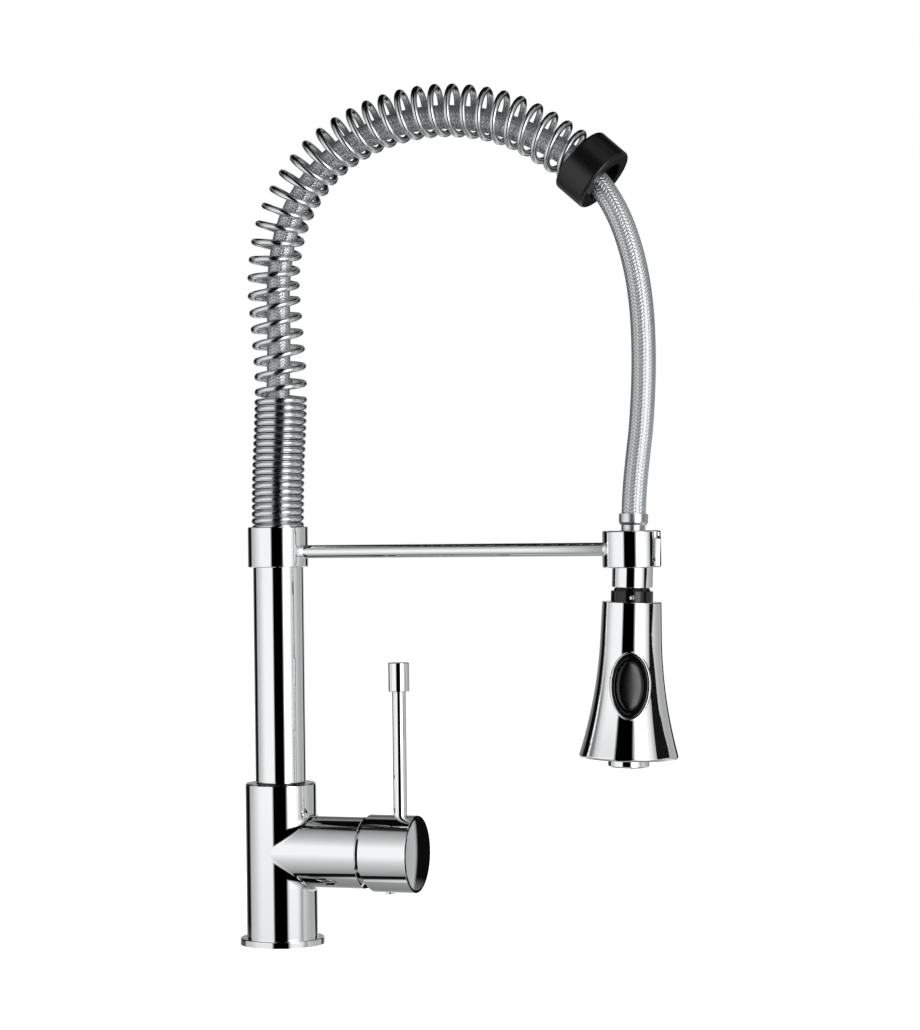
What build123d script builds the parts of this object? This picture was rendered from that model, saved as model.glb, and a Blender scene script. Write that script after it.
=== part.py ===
from build123d import *
import math
import os

# Pull-out kitchen faucet, in millimetres. The origin is the middle of the foot, on the deck.
# +Z is up and +X points the way the spout reaches.

# Driving sizes of the foot, mixer body and side arm
body_d = 43.0
arm_axis_z = 56.0
body_top = arm_axis_z + 41.5
arm_end_x = 55.2
flange_d = body_d + 8.0
flange_h = 4.0
edge = 0.8
foot_spigot_d = body_d - 7.2
gasket_inner_d = body_d - 2.8
gasket_outer_d = body_d + 3.0
gasket_h = 2.2
fixing_hole_x = 10.0
fixing_hole_d = 6.8
fixing_hole_depth = 14.0
inlet_hole_d = 9.0
inlet_hole_depth = 12.0
inlet_spacing = 15.0
waterway_d = 6.0

# Driving sizes of the mixing cartridge, measured out from the riser axis along the arm
cartridge_d = body_d - 8.0
cartridge_seat_depth = 5.5
cartridge_seat_x = body_d / 2 - cartridge_seat_depth
cartridge_wall = 3.0
cartridge_base = 4.0
disc_h = 4.0
carrier_h = 5.0
carrier_boss_d = 11.2
moving_disc_d = cartridge_d - 11.0
disc_shift = 2.2
disc_pocket = (12.0, 9.0, 4.0)
inlet_port_drop = 6.5
outlet_port_rise = 7.5
cap_depth = 14.2
cap_x = arm_end_x - cap_depth
cap_h = 4.0
cap_neck_d = 23.6
cap_neck_end_x = cap_x + 19.0
spindle_d = 18.9
stem_d = 8.0
stem_pin_d = 3.0
lever_pivot_x = cap_x + 15.0
ball_x = cap_x - 1.5
ball_d = 7.0
nut_h = 8.0
nut_wall = 1.0

# Driving sizes of the handle
handle_d = body_d + 3.4
handle_gap = 2.6
handle_end_x = arm_end_x + 32.3
handle_wall = 1.9
handle_bevel_drop = 8.0
handle_bevel_angle = 16.0
handle_boss_d = 16.0
handle_disc_h = 1.6
handle_disc_dome = 1.5
lever_rod_d = 8.2
lever_rod_x = handle_end_x - 10.5
knob_d = 12.5
knob_h = 17.5
knob_top = arm_axis_z + 114.7
handle_screw_x = lever_rod_x - 7.0
handle_screw_d = 5.0
plug_d = 5.3
plug_stand = 1.0

# Driving sizes of the riser, its swivel and its collar
riser_d = 30.5
riser_wall = 1.5
riser_gap = 0.4
swivel_bore_d = 27.2
swivel_bore_depth = 25.0
spigot_d = 24.0
spigot_bore_d = 12.0
bush_h = 4.0
o_ring_d = 2.4
collar_low = 228.3
collar_top = collar_low + 24.3
collar_skirt = 4.0
spring_socket = 4.0
rod_z = collar_low + 9.1
dock_rod_d = 8.0
connector_neck_d = 17.8
connector_bore_d = 9.0
spring_seat_h = 11.0
fitting_h = 6.0
ferrule_h = 14.0
o_groove_h = 2.4

# Driving sizes of the dock that holds the spray
dock_x = 223.0
dock_d = 35.0
dock_bore_d = 26.0
dock_h = 21.6
dock_slot = 18.6
grip_ring_low = -7.3
grip_ring_h = 2.1
grip_ring_bore_d = dock_bore_d - 1.4
grip_groove_d = dock_bore_d + 3.0

# Driving sizes of the hose and the spring round it
hose_d = 14.2
hose_bore_share = 0.54
tail_share = 0.52
tail_bore_share = 0.36
spring_d = hose_d + 17.8
spring_wire_d = 4.0
spring_start_angle = 110.0
closed_pitch = 4.226
closed_turns = 18.87
open_pitch = 9.8
points_per_turn = 8

# The collar goes round both the riser and the foot of the spring
collar_d = max(riser_d + 6.0, spring_d + 4.5)

# Middle line of the spring: shares of the dock's reach, and heights above the collar's top
spring_route = [
    (0.0, -1.9), (0.0018, 30.4), (0.0108, 59.4), (0.0152, 90.4), (0.004, 121.4), (-0.0085, 153.4),
    (0.026, 189.4), (0.1278, 221.0), (0.2713, 239.8), (0.4439, 248.2), (0.6188, 244.2),
    (0.7578, 231.4), (0.8852, 210.3),
]

# Middle line of the hose between its two fittings, in the same measures
hose_route = [
    (0.0, 50.4), (0.0063, 85.4), (0.0108, 118.4), (0.0081, 151.4), (0.0417, 187.9), (0.139, 217.4),
    (0.2758, 235.8), (0.4417, 244.3), (0.6099, 240.4), (0.7556, 228.0), (0.8789, 210.8),
    (0.9596, 187.9), (1.0072, 160.9), (1.0332, 130.4), (1.0386, 94.4), (1.0296, 58.4),
    (1.0161, 36.4), (1.0061, 15.4),
]

# Driving sizes of the ring at the spring's end
ring_d = spring_d + 9.0
ring_h = 21.0
ring_bore_d = spring_d - 7.0
ring_socket_depth = 8.0
ring_past_spring = 5.2
ring_extra_turn = 4.9

# Driving sizes of the hose end and neck, from the middle of the dock along the spray's axis
head_lean = 1.9
head_shift = 0.3
head_turn = 16.0
hose_ferrule_d = hose_d + 2.8
hose_ferrule_top = 20.6
hose_ferrule_low = 14.1
neck_d = hose_d - 0.2
sleeve_d = grip_ring_bore_d - 0.9
sleeve_top = 7.0
sleeve_low = -22.1
sleeve_bore_d = 18.0
sleeve_plate = 6.0
clip_low = -18.0
clip_h = 1.5

# Driving sizes of the spray head
head_top = -30.6
head_low = -121.8
head_length = head_top - head_low
head_top_d = 34.6
head_waist_d = head_top_d + 1.2
head_waist = head_top - 0.2127 * head_length
head_mid_d = head_waist_d + 6.6
head_mid = head_top - 0.6031 * head_length
head_rim_d = 59.0
head_wall = 1.7
head_edge = 0.6
head_rim_edge = 1.6
black_collar_d = 24.6
black_collar_h = 6.2
black_collar_tip_d = 20.0
black_collar_tip = 2.0
collar_pin_d = 3.2
collar_pin_z = -28.0
core_d = 24.0
core_low = head_low + 15.8
core_flange_d = head_rim_d - 12.4
core_flange_h = 4.0
core_thread_d = 18.6
core_spigot_top = -3.0
core_bore_d = 7.0
check_valve_d = 10.2
check_valve_h = 13.0
button_z = head_top - 0.5252 * head_length
bezel_w = 24.2
bezel_h = 39.6
frame_w = bezel_w - 3.0
frame_h = bezel_h - 2.3
button_w = 15.8
button_h = 29.0
bezel_stand = 0.9
frame_stand = 0.5
button_stand = 1.3
button_travel = 2.5
button_back = 15.6
spool_d = 7.8
spool_end = 6.0
button_spring_d = 6.0
button_spring_wire_d = 0.6
button_spring_turns = 4
face_recess = 0.8
face_h = 3.0
face_wall = 8.0
aerator_d = 24.2
aerator_low = head_low - 5.2
aerator_h = 17.0
aerator_insert_d = aerator_d - 3.6
nozzle_d = 2.6
nozzle_tip_d = 1.6
nozzle_stand = 1.0
nozzle_rows = [(16.5, 18), (21.5, 26)]

# Named clearances
running = 0.05
loose = 0.15
clear = 0.3

arm_place = Pos(0, 0, arm_axis_z) * Rot(0, 90, 0)
head_place = Pos(dock_x + head_shift, 0, rod_z) * Rot(0, head_lean, 0)
turned_head = head_place * Rot(0, 0, head_turn)


def rod(diameter, low, high, x=0.0, y=0.0):
    """A solid round bar between two heights."""
    return Pos(x, y, (low + high) / 2) * Cylinder(diameter / 2, high - low)


def ring(outer_d, inner_d, low, high):
    """A round tube between two heights."""
    return rod(outer_d, low, high) - rod(inner_d, low - 1, high + 1)


def bar_between(diameter, start, end):
    """A solid round bar between two points."""
    line = Line(start, end)
    return Solid.make_cylinder(diameter / 2, line.length, Plane(origin=start, z_dir=line % 0))


def o_ring(groove_d, middle):
    """A rubber ring that lies in a groove."""
    return Pos(0, 0, middle) * Torus(groove_d / 2 + o_ring_d / 2, o_ring_d / 2)


def grub_screw(diameter, length):
    """A headless screw along +Z with a six-sided socket in its upper end."""
    socket = extrude(RegularPolygon(diameter * 0.3, 6), -length * 0.4)
    return rod(diameter, 0, length) - Pos(0, 0, length) * socket


def turned_profile(points):
    """A solid of revolution about Z from a closed outline of (radius, height) points."""
    outline = Polyline(*[(r, 0, z) for r, z in points], close=True)
    return revolve(make_face(outline), Axis.Z)


def corner_radii(points):
    """The largest even arc at each corner of a route."""
    radii = []
    for a, b, c in zip(points, points[1:], points[2:]):
        before = Vector(*b) - Vector(*a)
        after = Vector(*c) - Vector(*b)
        half_turn = math.radians(before.get_angle(after)) / 2
        radii.append(0.45 * min(before.length, after.length) / math.tan(half_turn))
    return radii


def rounded_route(points, name):
    """Straight runs joined by tangent arcs through a list of points."""
    radii = corner_radii(points)
    print(name, "arc radii", [round(r) for r in radii])
    return FilletPolyline(*points, radius=radii).wire()


parts = {}

# Mixer body: upright cylinder with a coped side arm, bored for the swivel, cartridge and water
swivel_low = body_top - swivel_bore_depth
cartridge_end_x = cap_x + cap_h
nut_end_x = cartridge_end_x + nut_h
arm_bore_d = cartridge_d + 2 * running + 2 * nut_wall
port_x = cartridge_seat_x - 9.0
inlet_port_z = arm_axis_z - inlet_port_drop
outlet_port_z = arm_axis_z + outlet_port_rise

upright = chamfer(rod(body_d, flange_h, body_top).edges().group_by(Axis.Z)[-1], edge)
casting = upright + rod(foot_spigot_d, 0, flange_h)
casting -= rod(swivel_bore_d, swivel_low, body_top + 1)
casting -= arm_place * rod(cartridge_d + 2 * running, cartridge_seat_x, arm_end_x + 1)
side_arm = chamfer(rod(body_d, 0, arm_end_x).edges().group_by(Axis.Z)[-1], edge / 2)
side_arm -= rod(cartridge_d + 2 * running, -1, arm_end_x + 1)
side_arm -= rod(arm_bore_d, cartridge_end_x - 1, arm_end_x + 1)
parts["side_arm"] = arm_place * side_arm - rod(body_d + 2 * running, 0, body_top)
for side in (-1, 1):
    y = side * inlet_spacing / 2
    casting -= rod(inlet_hole_d, -1, inlet_hole_depth, port_x, y)
    casting -= rod(waterway_d, 1, inlet_port_z, port_x, y)
    casting -= bar_between(
        waterway_d, (port_x - waterway_d / 2, y, inlet_port_z), (cartridge_seat_x + 1, y, inlet_port_z)
    )
casting -= rod(fixing_hole_d, -1, fixing_hole_depth, -fixing_hole_x, 0.0)
casting -= bar_between(waterway_d, (0, 0, outlet_port_z), (cartridge_seat_x + 1, 0, outlet_port_z))
casting -= rod(waterway_d, outlet_port_z - waterway_d / 2, swivel_low + 1)
lock_z = body_top - 9.5
lock_tip = spigot_d / 2 - 1.2
casting -= bar_between(handle_screw_d + 2 * running, (-body_d, 0, lock_z), (-lock_tip - 1, 0, lock_z))
parts["body_casting"] = casting

flange = ring(flange_d, foot_spigot_d + 2 * loose, 0, flange_h)
flange = fillet(flange.edges().group_by(Axis.Z)[-1].sort_by(SortBy.RADIUS)[-1], edge)
flange -= ring(gasket_outer_d + 2 * loose, gasket_inner_d - 2 * loose, -1, gasket_h)
parts["base_flange"] = flange
parts["base_gasket"] = ring(gasket_outer_d, gasket_inner_d, 0, gasket_h)

# Riser swivel: two bushes in the body carry the spigot of the riser connector
bush_bore_d = spigot_d + 2 * running
bush_outer_d = swivel_bore_d - 2 * running
bush_flange_h = 0.6
parts["lower_bush"] = ring(bush_outer_d, bush_bore_d, swivel_low, swivel_low + bush_h)
upper_bush = ring(bush_outer_d, bush_bore_d, body_top - bush_h, body_top)
upper_bush += ring(riser_d - 0.6, bush_bore_d, body_top, body_top + bush_flange_h)
parts["upper_bush"] = upper_bush

riser_low = body_top + bush_flange_h + riser_gap
riser_top = collar_low + collar_skirt
riser_bore_d = riser_d - 2 * riser_wall
plug_fit_d = riser_bore_d - 2 * running
o_groove_d = swivel_bore_d - 2 * o_ring_d - 2 * running
lower_o = [swivel_low + bush_h + 3.0, swivel_low + bush_h + 7.5]
riser_o = riser_low + 12.0

connector = rod(spigot_d, swivel_low + 1, body_top + bush_flange_h)
connector += rod(plug_fit_d, body_top + bush_flange_h, riser_low + 18)
connector -= rod(spigot_bore_d, 0, collar_top)
for middle in lower_o:
    connector -= ring(spigot_d + 1, o_groove_d, middle - o_ring_d / 2, middle + o_ring_d / 2)
connector -= ring(spigot_d + 1, 2 * lock_tip - 1.2, lock_z - 2.8, lock_z + 2.8)
plug_groove_d = riser_bore_d - 2 * o_ring_d - 2 * running
connector -= ring(riser_bore_d + 1, plug_groove_d, riser_o - o_ring_d / 2, riser_o + o_ring_d / 2)
parts["riser_connector"] = connector
parts["riser_o_rings"] = Compound(
    children=[o_ring(o_groove_d, m) for m in lower_o] + [o_ring(plug_groove_d, riser_o)]
)
lock_length = body_d / 2 - lock_tip - 1.0
parts["riser_lock_screw"] = Pos(-lock_tip, 0, lock_z) * Rot(0, -90, 0) * grub_screw(handle_screw_d, lock_length)
parts["riser_tube"] = ring(riser_d, riser_bore_d, riser_low, riser_top)

# Top of the riser: the hose connector plugs it, and the collar and spring seat sit on its neck
seat_top = collar_top + spring_seat_h
plug_low = riser_top - 20.0
top_o = [plug_low + 6.0, plug_low + 12.0]
top_plug = rod(plug_fit_d, plug_low, riser_top) + rod(connector_neck_d, riser_top, seat_top)
top_plug -= rod(connector_bore_d, plug_low - 1, seat_top + 1)
for middle in top_o:
    top_plug -= ring(riser_bore_d + 1, plug_groove_d, middle - o_ring_d / 2, middle + o_ring_d / 2)
collar_screw_tip = connector_neck_d / 2 - 1.0
top_plug -= bar_between(handle_screw_d, (-collar_screw_tip, 0, rod_z), (-connector_neck_d, 0, rod_z))
rod_tip_x = connector_neck_d / 2 + 2 * running
parts["hose_connector"] = top_plug
parts["connector_o_rings"] = Compound(children=[o_ring(plug_groove_d, m) for m in top_o])

collar = rod(collar_d, collar_low, collar_top)
collar = chamfer(collar.edges().filter_by(GeomType.CIRCLE), edge / 2)
collar -= rod(riser_d + 2 * running, collar_low - 1, riser_top)
collar -= rod(connector_neck_d + 2 * running, collar_low, collar_top + 1)
collar -= rod(spring_d + 2 * clear, collar_top - spring_socket, collar_top + 1)
collar -= bar_between(dock_rod_d + 2 * running, (rod_tip_x, 0, rod_z), (collar_d, 0, rod_z))
collar -= bar_between(handle_screw_d + 2 * running, (-5, 0, rod_z), (-collar_d, 0, rod_z))
parts["riser_collar"] = collar
collar_screw_length = collar_d / 2 - collar_screw_tip - 1.5
parts["collar_screw"] = (
    Pos(-collar_screw_tip, 0, rod_z) * Rot(0, -90, 0) * grub_screw(handle_screw_d, collar_screw_length)
)

spring_bore_d = spring_d - 2 * spring_wire_d
seat_d = spring_bore_d - 2 * clear
parts["spring_seat"] = ring(seat_d, connector_neck_d + 2 * running, collar_top - spring_socket, seat_top)

# Dock: a rod from the collar carries a clip that is open toward +X
rod_end_x = dock_x - dock_bore_d / 2 - 1.5
parts["dock_rod"] = bar_between(dock_rod_d, (rod_tip_x, 0, rod_z), (rod_end_x, 0, rod_z))

dock_low = rod_z - dock_h / 2
dock_top = rod_z + dock_h / 2
slot_box = Pos(dock_x + dock_d / 2, 0, rod_z) * Box(dock_d, dock_slot, dock_h + 2)
clip = Pos(dock_x, 0, 0) * ring(dock_d, dock_bore_d, dock_low, dock_top) - slot_box
clip = fillet(clip.edges().group_by(Axis.Z)[-1] + clip.edges().group_by(Axis.Z)[0], 1.0)
grip_low = rod_z + grip_ring_low
clip -= Pos(dock_x, 0, 0) * ring(grip_groove_d, dock_bore_d - 4, grip_low, grip_low + grip_ring_h)
clip -= bar_between(dock_rod_d + 2 * running, (0, 0, rod_z), (rod_end_x, 0, rod_z))
parts["dock_clip"] = clip
grip = ring(grip_groove_d - 2 * running, grip_ring_bore_d, grip_low + running, grip_low + grip_ring_h - running)
parts["dock_grip_ring"] = Pos(dock_x, 0, 0) * grip - slot_box

# Spring: one wire wound close at the bottom and open over the arch, round a curved middle line
spring_points = [(share * dock_x, 0, collar_top + rise) for share, rise in spring_route]
spring_path = rounded_route(spring_points, "spring")
spring_length = spring_path.length
closed_length = closed_turns * closed_pitch
total_turns = closed_turns + (spring_length - closed_length) / open_pitch


def coil_point(turns):
    """A point of the wire's middle line, a number of turns from the bottom."""
    open_turns = max(0.0, turns - closed_turns)
    along = min(turns, closed_turns) * closed_pitch + open_turns * open_pitch
    middle = spring_path.position_at(along / spring_length)
    side = Vector(0, 1, 0).cross(spring_path.tangent_at(along / spring_length))
    radius = (spring_d - spring_wire_d) / 2
    angle = math.radians(spring_start_angle) + 2 * math.pi * turns
    return middle + side * (radius * math.cos(angle)) + Vector(0, radius * math.sin(angle), 0)


steps = round(total_turns * points_per_turn)
wire_line = Spline(*[coil_point(total_turns * i / steps) for i in range(steps + 1)])
wire_face = Plane(origin=wire_line @ 0, z_dir=wire_line % 0) * Circle(spring_wire_d / 2)
parts["spring"] = sweep(wire_face, path=wire_line, is_frenet=True)

# Black ring at the spring's end: a socket for the last coil, and a bore for the hose
spring_end = spring_path @ 1
end_direction = spring_path % 1
ring_angle = 90 + math.degrees(math.atan2(-end_direction.Z, end_direction.X)) + ring_extra_turn
ring_place = Pos(*spring_end) * Rot(0, ring_angle, 0) * Pos(0, 0, ring_past_spring)
end_ring = rod(ring_d, -ring_h / 2, ring_h / 2)
end_ring = fillet(end_ring.edges().filter_by(GeomType.CIRCLE), 1.8)
end_ring -= rod(ring_bore_d, -ring_h, ring_h)
end_ring -= rod(spring_d + 2 * clear, -ring_h, ring_socket_depth - ring_h / 2)
parts["spring_end_ring"] = ring_place * end_ring

# Hose lower end: a fitting screwed into the connector, with a crimped ferrule
fitting_top = seat_top + fitting_h
fitting = rod(connector_neck_d - 1.0, seat_top, fitting_top)
fitting += rod(connector_bore_d - 2 * running, collar_top - 2, seat_top)
fitting += rod(hose_d * tail_share, fitting_top, fitting_top + ferrule_h)
fitting -= rod(hose_d * tail_bore_share, collar_top - 3, fitting_top + ferrule_h + 1)
parts["hose_lower_fitting"] = fitting
parts["hose_lower_ferrule"] = ring(
    hose_ferrule_d, hose_d + 2 * loose, fitting_top, fitting_top + ferrule_h
)

# Hose: one tube from its lower fitting, inside the spring and free, down to the ferrule in the dock
hose_start = (0.0, 0.0, fitting_top + loose)
hose_end = head_place * Pos(0, 0, hose_ferrule_low + loose)
hose_points = [hose_start]
hose_points += [(share * dock_x, 0, collar_top + rise) for share, rise in hose_route]
hose_points += [tuple(hose_end.position)]
hose_path = rounded_route(hose_points, "hose")
hose_wall = (hose_d - hose_d * hose_bore_share) / 2
hose_section = Plane(origin=hose_path @ 0, z_dir=hose_path % 0) * (
    Circle(hose_d / 2) - Circle(hose_d / 2 - hose_wall)
)
hose = sweep(hose_section, path=hose_path)
section_area = math.pi * (hose_d**2 - (hose_d - 2 * hose_wall) ** 2) / 4
print("hose length", round(hose_path.length, 1), "volume ratio", hose.volume / section_area / hose_path.length)
parts["hose"] = hose

# Hose end in the dock: ferrule, nipple, and the neck sleeve in which the spray swivels
ferrule_wall = (hose_ferrule_d - hose_d) / 2 - loose
ferrule = turned_profile([
    (hose_ferrule_d / 2 - ferrule_wall, hose_ferrule_low),
    (neck_d / 2 + 0.6, hose_ferrule_low),
    (hose_ferrule_d / 2, hose_ferrule_low + 1.6),
    (hose_ferrule_d / 2, hose_ferrule_top),
    (hose_ferrule_d / 2 - ferrule_wall, hose_ferrule_top),
])
parts["hose_ferrule"] = head_place * ferrule
nipple_low = sleeve_top - sleeve_plate + clear
nipple = rod(neck_d, nipple_low, hose_ferrule_low)
nipple += rod(hose_d * tail_share, hose_ferrule_low, hose_ferrule_top - 1)
nipple -= rod(hose_d * tail_bore_share, nipple_low - 1, hose_ferrule_top)
parts["hose_end_nipple"] = head_place * nipple
sleeve = rod(sleeve_d, sleeve_low, sleeve_top)
sleeve = chamfer(sleeve.edges().group_by(Axis.Z)[-1], 1.0)
sleeve -= rod(sleeve_bore_d, sleeve_low - 1, sleeve_top - sleeve_plate)
sleeve -= rod(neck_d + 2 * running, 0, sleeve_top + 1)
clip_groove_d = sleeve_bore_d + 2.4
sleeve -= ring(clip_groove_d, sleeve_bore_d - 1, clip_low, clip_low + clip_h + 2 * running)
parts["neck_sleeve"] = head_place * sleeve
spigot_clip_d = sleeve_bore_d - 2.2
swivel_clip = ring(clip_groove_d - 2 * running, spigot_clip_d + 2 * loose, clip_low + running, clip_low + clip_h)
swivel_clip -= Pos(sleeve_bore_d / 2, 0, clip_low) * Box(sleeve_bore_d, 4.0, 4 * clip_h)
parts["swivel_clip"] = head_place * swivel_clip

# Spray core: spigot in the sleeve, flange under the shell, waterway and seat of the diverter
core_spigot_d = sleeve_bore_d - 2 * running
head_plate = head_top - head_wall
nipple_end = aerator_low + aerator_h - 8.0
core = rod(core_spigot_d, head_top + black_collar_h, core_spigot_top)
core += rod(core_thread_d, head_plate, head_top + black_collar_h)
core += rod(head_top_d - 2 * head_wall - 1, head_plate - 3, head_plate)
core += rod(core_d, core_low, head_plate - 3)
core += rod(core_flange_d, core_low - core_flange_h, core_low)
core += rod(core_spigot_d, nipple_end, core_low - core_flange_h)
core -= rod(core_bore_d, nipple_end - 1, core_spigot_top + 1)
core -= rod(check_valve_d + 2 * running, core_spigot_top - check_valve_h - 2, core_spigot_top + 1)
neck_o_groove_d = sleeve_bore_d - 2 * o_ring_d * 0.75 - 2 * running
neck_o = [-8.0, -12.5]
for middle in neck_o:
    core -= ring(sleeve_bore_d + 1, neck_o_groove_d, middle - 1.1, middle + 1.1)
core -= ring(sleeve_bore_d + 1, spigot_clip_d, clip_low - clear, clip_low + clip_h + clear)
bore_end = spool_end + button_travel + 2.6
core -= bar_between(spool_d + 2 * running, (0, -core_d, button_z), (0, bore_end, button_z))
parts["head_core"] = turned_head * core
neck_o_radius = o_ring_d * 0.375
parts["neck_o_rings"] = Compound(
    children=[
        head_place * Pos(0, 0, m) * Torus(neck_o_groove_d / 2 + neck_o_radius, neck_o_radius) for m in neck_o
    ]
)
valve_top = core_spigot_top - 1.0
valve = rod(check_valve_d, valve_top - check_valve_h, valve_top) - rod(5.0, valve_top - 4, valve_top + 1)
valve -= ring(check_valve_d + 1, check_valve_d - 1.6, valve_top - 6, valve_top - 4)
parts["check_valve"] = head_place * valve

collar_base = head_top + black_collar_h
black_collar = turned_profile([
    (core_thread_d / 2 + running, head_top),
    (black_collar_d / 2, head_top),
    (black_collar_d / 2, collar_base),
    (black_collar_d / 2 - 1.4, collar_base),
    (black_collar_tip_d / 2, collar_base + black_collar_tip - running),
    (core_thread_d / 2 + running, collar_base + black_collar_tip - running),
])
pin_tip = core_thread_d / 2 + 0.6
pin_end = black_collar_d / 2 + 0.3
black_collar -= bar_between(collar_pin_d + 2 * running, (0, -pin_tip, collar_pin_z), (0, -pin_end - 1, collar_pin_z))
parts["black_collar"] = turned_head * black_collar
pin = Pos(0, -pin_tip, collar_pin_z) * Rot(90, 0, 0) * grub_screw(collar_pin_d, pin_end - pin_tip)
parts["collar_pin"] = turned_head * pin


def shell_solid(offset, low, high):
    """The flared shell's outside moved out by an offset, cut to two heights."""
    lines = [
        Line((head_top_d / 2 + offset, head_top), (head_waist_d / 2 + offset, head_waist)),
        ThreePointArc(
            (head_waist_d / 2 + offset, head_waist),
            (head_mid_d / 2 + offset, head_mid),
            (head_rim_d / 2 + offset, head_low),
        ),
        Line((head_rim_d / 2 + offset, head_low), (0, head_low)),
        Line((0, head_low), (0, head_top)),
        Line((0, head_top), (head_top_d / 2 + offset, head_top)),
    ]
    face = make_face(Plane.XZ * Wire(lines))
    solid = revolve(face, Axis.Z)
    return solid & rod(2 * head_rim_d, low, high)


def front_oval(width, height, front=head_rim_d, back=core_d / 2):
    """An upright oval prism that runs out along -Y from the core."""
    oval = Plane.XZ.offset(back) * Pos(0, button_z) * Ellipse(width / 2, height / 2)
    return extrude(oval, front)


outer_shell = shell_solid(0.0, head_low, head_top)
outer_shell = fillet(outer_shell.edges().group_by(Axis.Z)[-1], head_edge)
outer_shell = fillet(outer_shell.edges().group_by(Axis.Z)[0], head_rim_edge)
inner_space = shell_solid(-head_wall, head_low, head_plate)
shell = outer_shell - inner_space - rod(core_thread_d + 2 * running, head_plate - 1, head_top + 1)
shell -= front_oval(bezel_w, bezel_h)
parts["head_shell"] = turned_head * shell

wall_zone = shell_solid(bezel_stand, head_low, head_top) - inner_space
bezel = (front_oval(bezel_w - 2 * running, bezel_h - 2 * running) - front_oval(frame_w, frame_h)) & wall_zone
parts["button_bezel"] = turned_head * bezel
frame_zone = shell_solid(frame_stand, head_low, head_top) - shell_solid(-3.2, head_low, head_plate)
frame_ring = front_oval(frame_w - 2 * running, frame_h - 2 * running)
frame_ring -= front_oval(button_w + 2 * loose, button_h + 2 * loose)
parts["button_frame"] = turned_head * (frame_ring & frame_zone)

# Button and diverter spool: pressed in together, pushed back by a spring
button = front_oval(button_w, button_h, back=button_back) & shell_solid(button_stand, head_low, head_top)
parts["spray_button"] = turned_head * button
parts["diverter_spool"] = turned_head * bar_between(spool_d, (0, -button_back, button_z), (0, spool_end, button_z))
button_spring_pitch = (bore_end - spool_end - 1.2 * button_spring_wire_d) / button_spring_turns
button_coil = Helix(
    button_spring_pitch, button_spring_pitch * button_spring_turns, (button_spring_d - button_spring_wire_d) / 2
)
coil_face = Plane(origin=button_coil @ 0, z_dir=button_coil % 0) * Circle(button_spring_wire_d / 2)
button_spring = sweep(coil_face, path=button_coil, is_frenet=True)
spring_spot = Pos(0, spool_end + 0.6 * button_spring_wire_d, button_z) * Rot(-90, 0, 0)
parts["button_spring"] = turned_head * spring_spot * button_spring

# Underside of the spray: face plate with rubber nozzles, and the aerator in the middle
face_low = head_low + face_recess
face_room = shell_solid(-head_wall - loose, face_low, face_low + face_wall)
spray_face = face_room - shell_solid(-head_wall - 2.4, face_low + face_h, face_low + face_wall + 1)
spray_face -= rod(aerator_d + 2 * loose, head_low - 1, head_top)
nozzle_spots = [
    (radius, 360.0 * i / count) for radius, count in nozzle_rows for i in range(count)
]
nozzle = Pos(0, 0, face_low - nozzle_stand) * Cone(
    nozzle_tip_d / 2, nozzle_d / 2, nozzle_stand, align=(Align.CENTER, Align.CENTER, Align.MIN)
)
nozzle += rod(nozzle_d, face_low, face_low + face_h + 1.0)
nozzle -= rod(0.8, face_low - nozzle_stand - 1, face_low + face_h + 2.0)
nozzles = []
for radius, angle in nozzle_spots:
    spot = Rot(0, 0, angle) * Pos(radius, 0, 0)
    spray_face -= spot * rod(nozzle_d + 2 * running, head_low - 1, head_low + face_wall)
    nozzles.append(turned_head * spot * nozzle)
parts["spray_face"] = turned_head * spray_face
parts["spray_nozzles"] = Compound(children=nozzles)

housing_top = aerator_low + aerator_h
housing = rod(aerator_d, aerator_low, housing_top)
housing = chamfer(housing.edges().group_by(Axis.Z)[0], edge)
housing -= rod(core_spigot_d + 2 * running, nipple_end - 1, housing_top + 1)
housing -= rod(aerator_insert_d + 2 * running, aerator_low - 1, nipple_end - 1)
parts["aerator_housing"] = head_place * housing
insert = rod(aerator_insert_d, aerator_low + 1.0, nipple_end - 1 - running)
insert_cell = 2.4
for row in range(-3, 4):
    for column in range(-3, 4):
        if math.hypot(row, column) < 3.2:
            insert -= Pos(row * insert_cell, column * insert_cell, aerator_low) * Box(1.7, 1.7, 12)
parts["aerator_insert"] = head_place * insert

# Cartridge in the arm, drawn along +Z and laid along +X: local -X is up
disc_x = cartridge_seat_x + running + cartridge_base
cartridge = rod(cartridge_d, cartridge_seat_x + running, cap_x)
cartridge -= rod(cartridge_d - 2 * cartridge_wall, disc_x, cap_x + 1)
port_spots = [
    (inlet_port_drop, -inlet_spacing / 2), (inlet_port_drop, inlet_spacing / 2), (-outlet_port_rise, 0.0)
]
seal_tube = 1.0
seal_d = waterway_d + 2.4
seals = []
fixed_disc = rod(cartridge_d - 2 * cartridge_wall - 2 * loose, disc_x, disc_x + disc_h)
for px, py in port_spots:
    cartridge -= rod(waterway_d, 0, disc_x + 1, px, py)
    cartridge -= Pos(px, py, 0) * ring(seal_d + seal_tube, seal_d - seal_tube, 0, cartridge_seat_x + seal_tube + 0.2)
    seal = Pos(px, py, cartridge_seat_x + 0.1 + seal_tube / 2) * Torus(seal_d / 2, seal_tube / 2 - running)
    seals.append(arm_place * seal)
    fixed_disc -= rod(waterway_d - 1, disc_x - 1, disc_x + disc_h + 1, px, py)
parts["cartridge_body"] = arm_place * cartridge
parts["cartridge_seals"] = Compound(children=seals)
parts["fixed_disc"] = arm_place * fixed_disc

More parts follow.
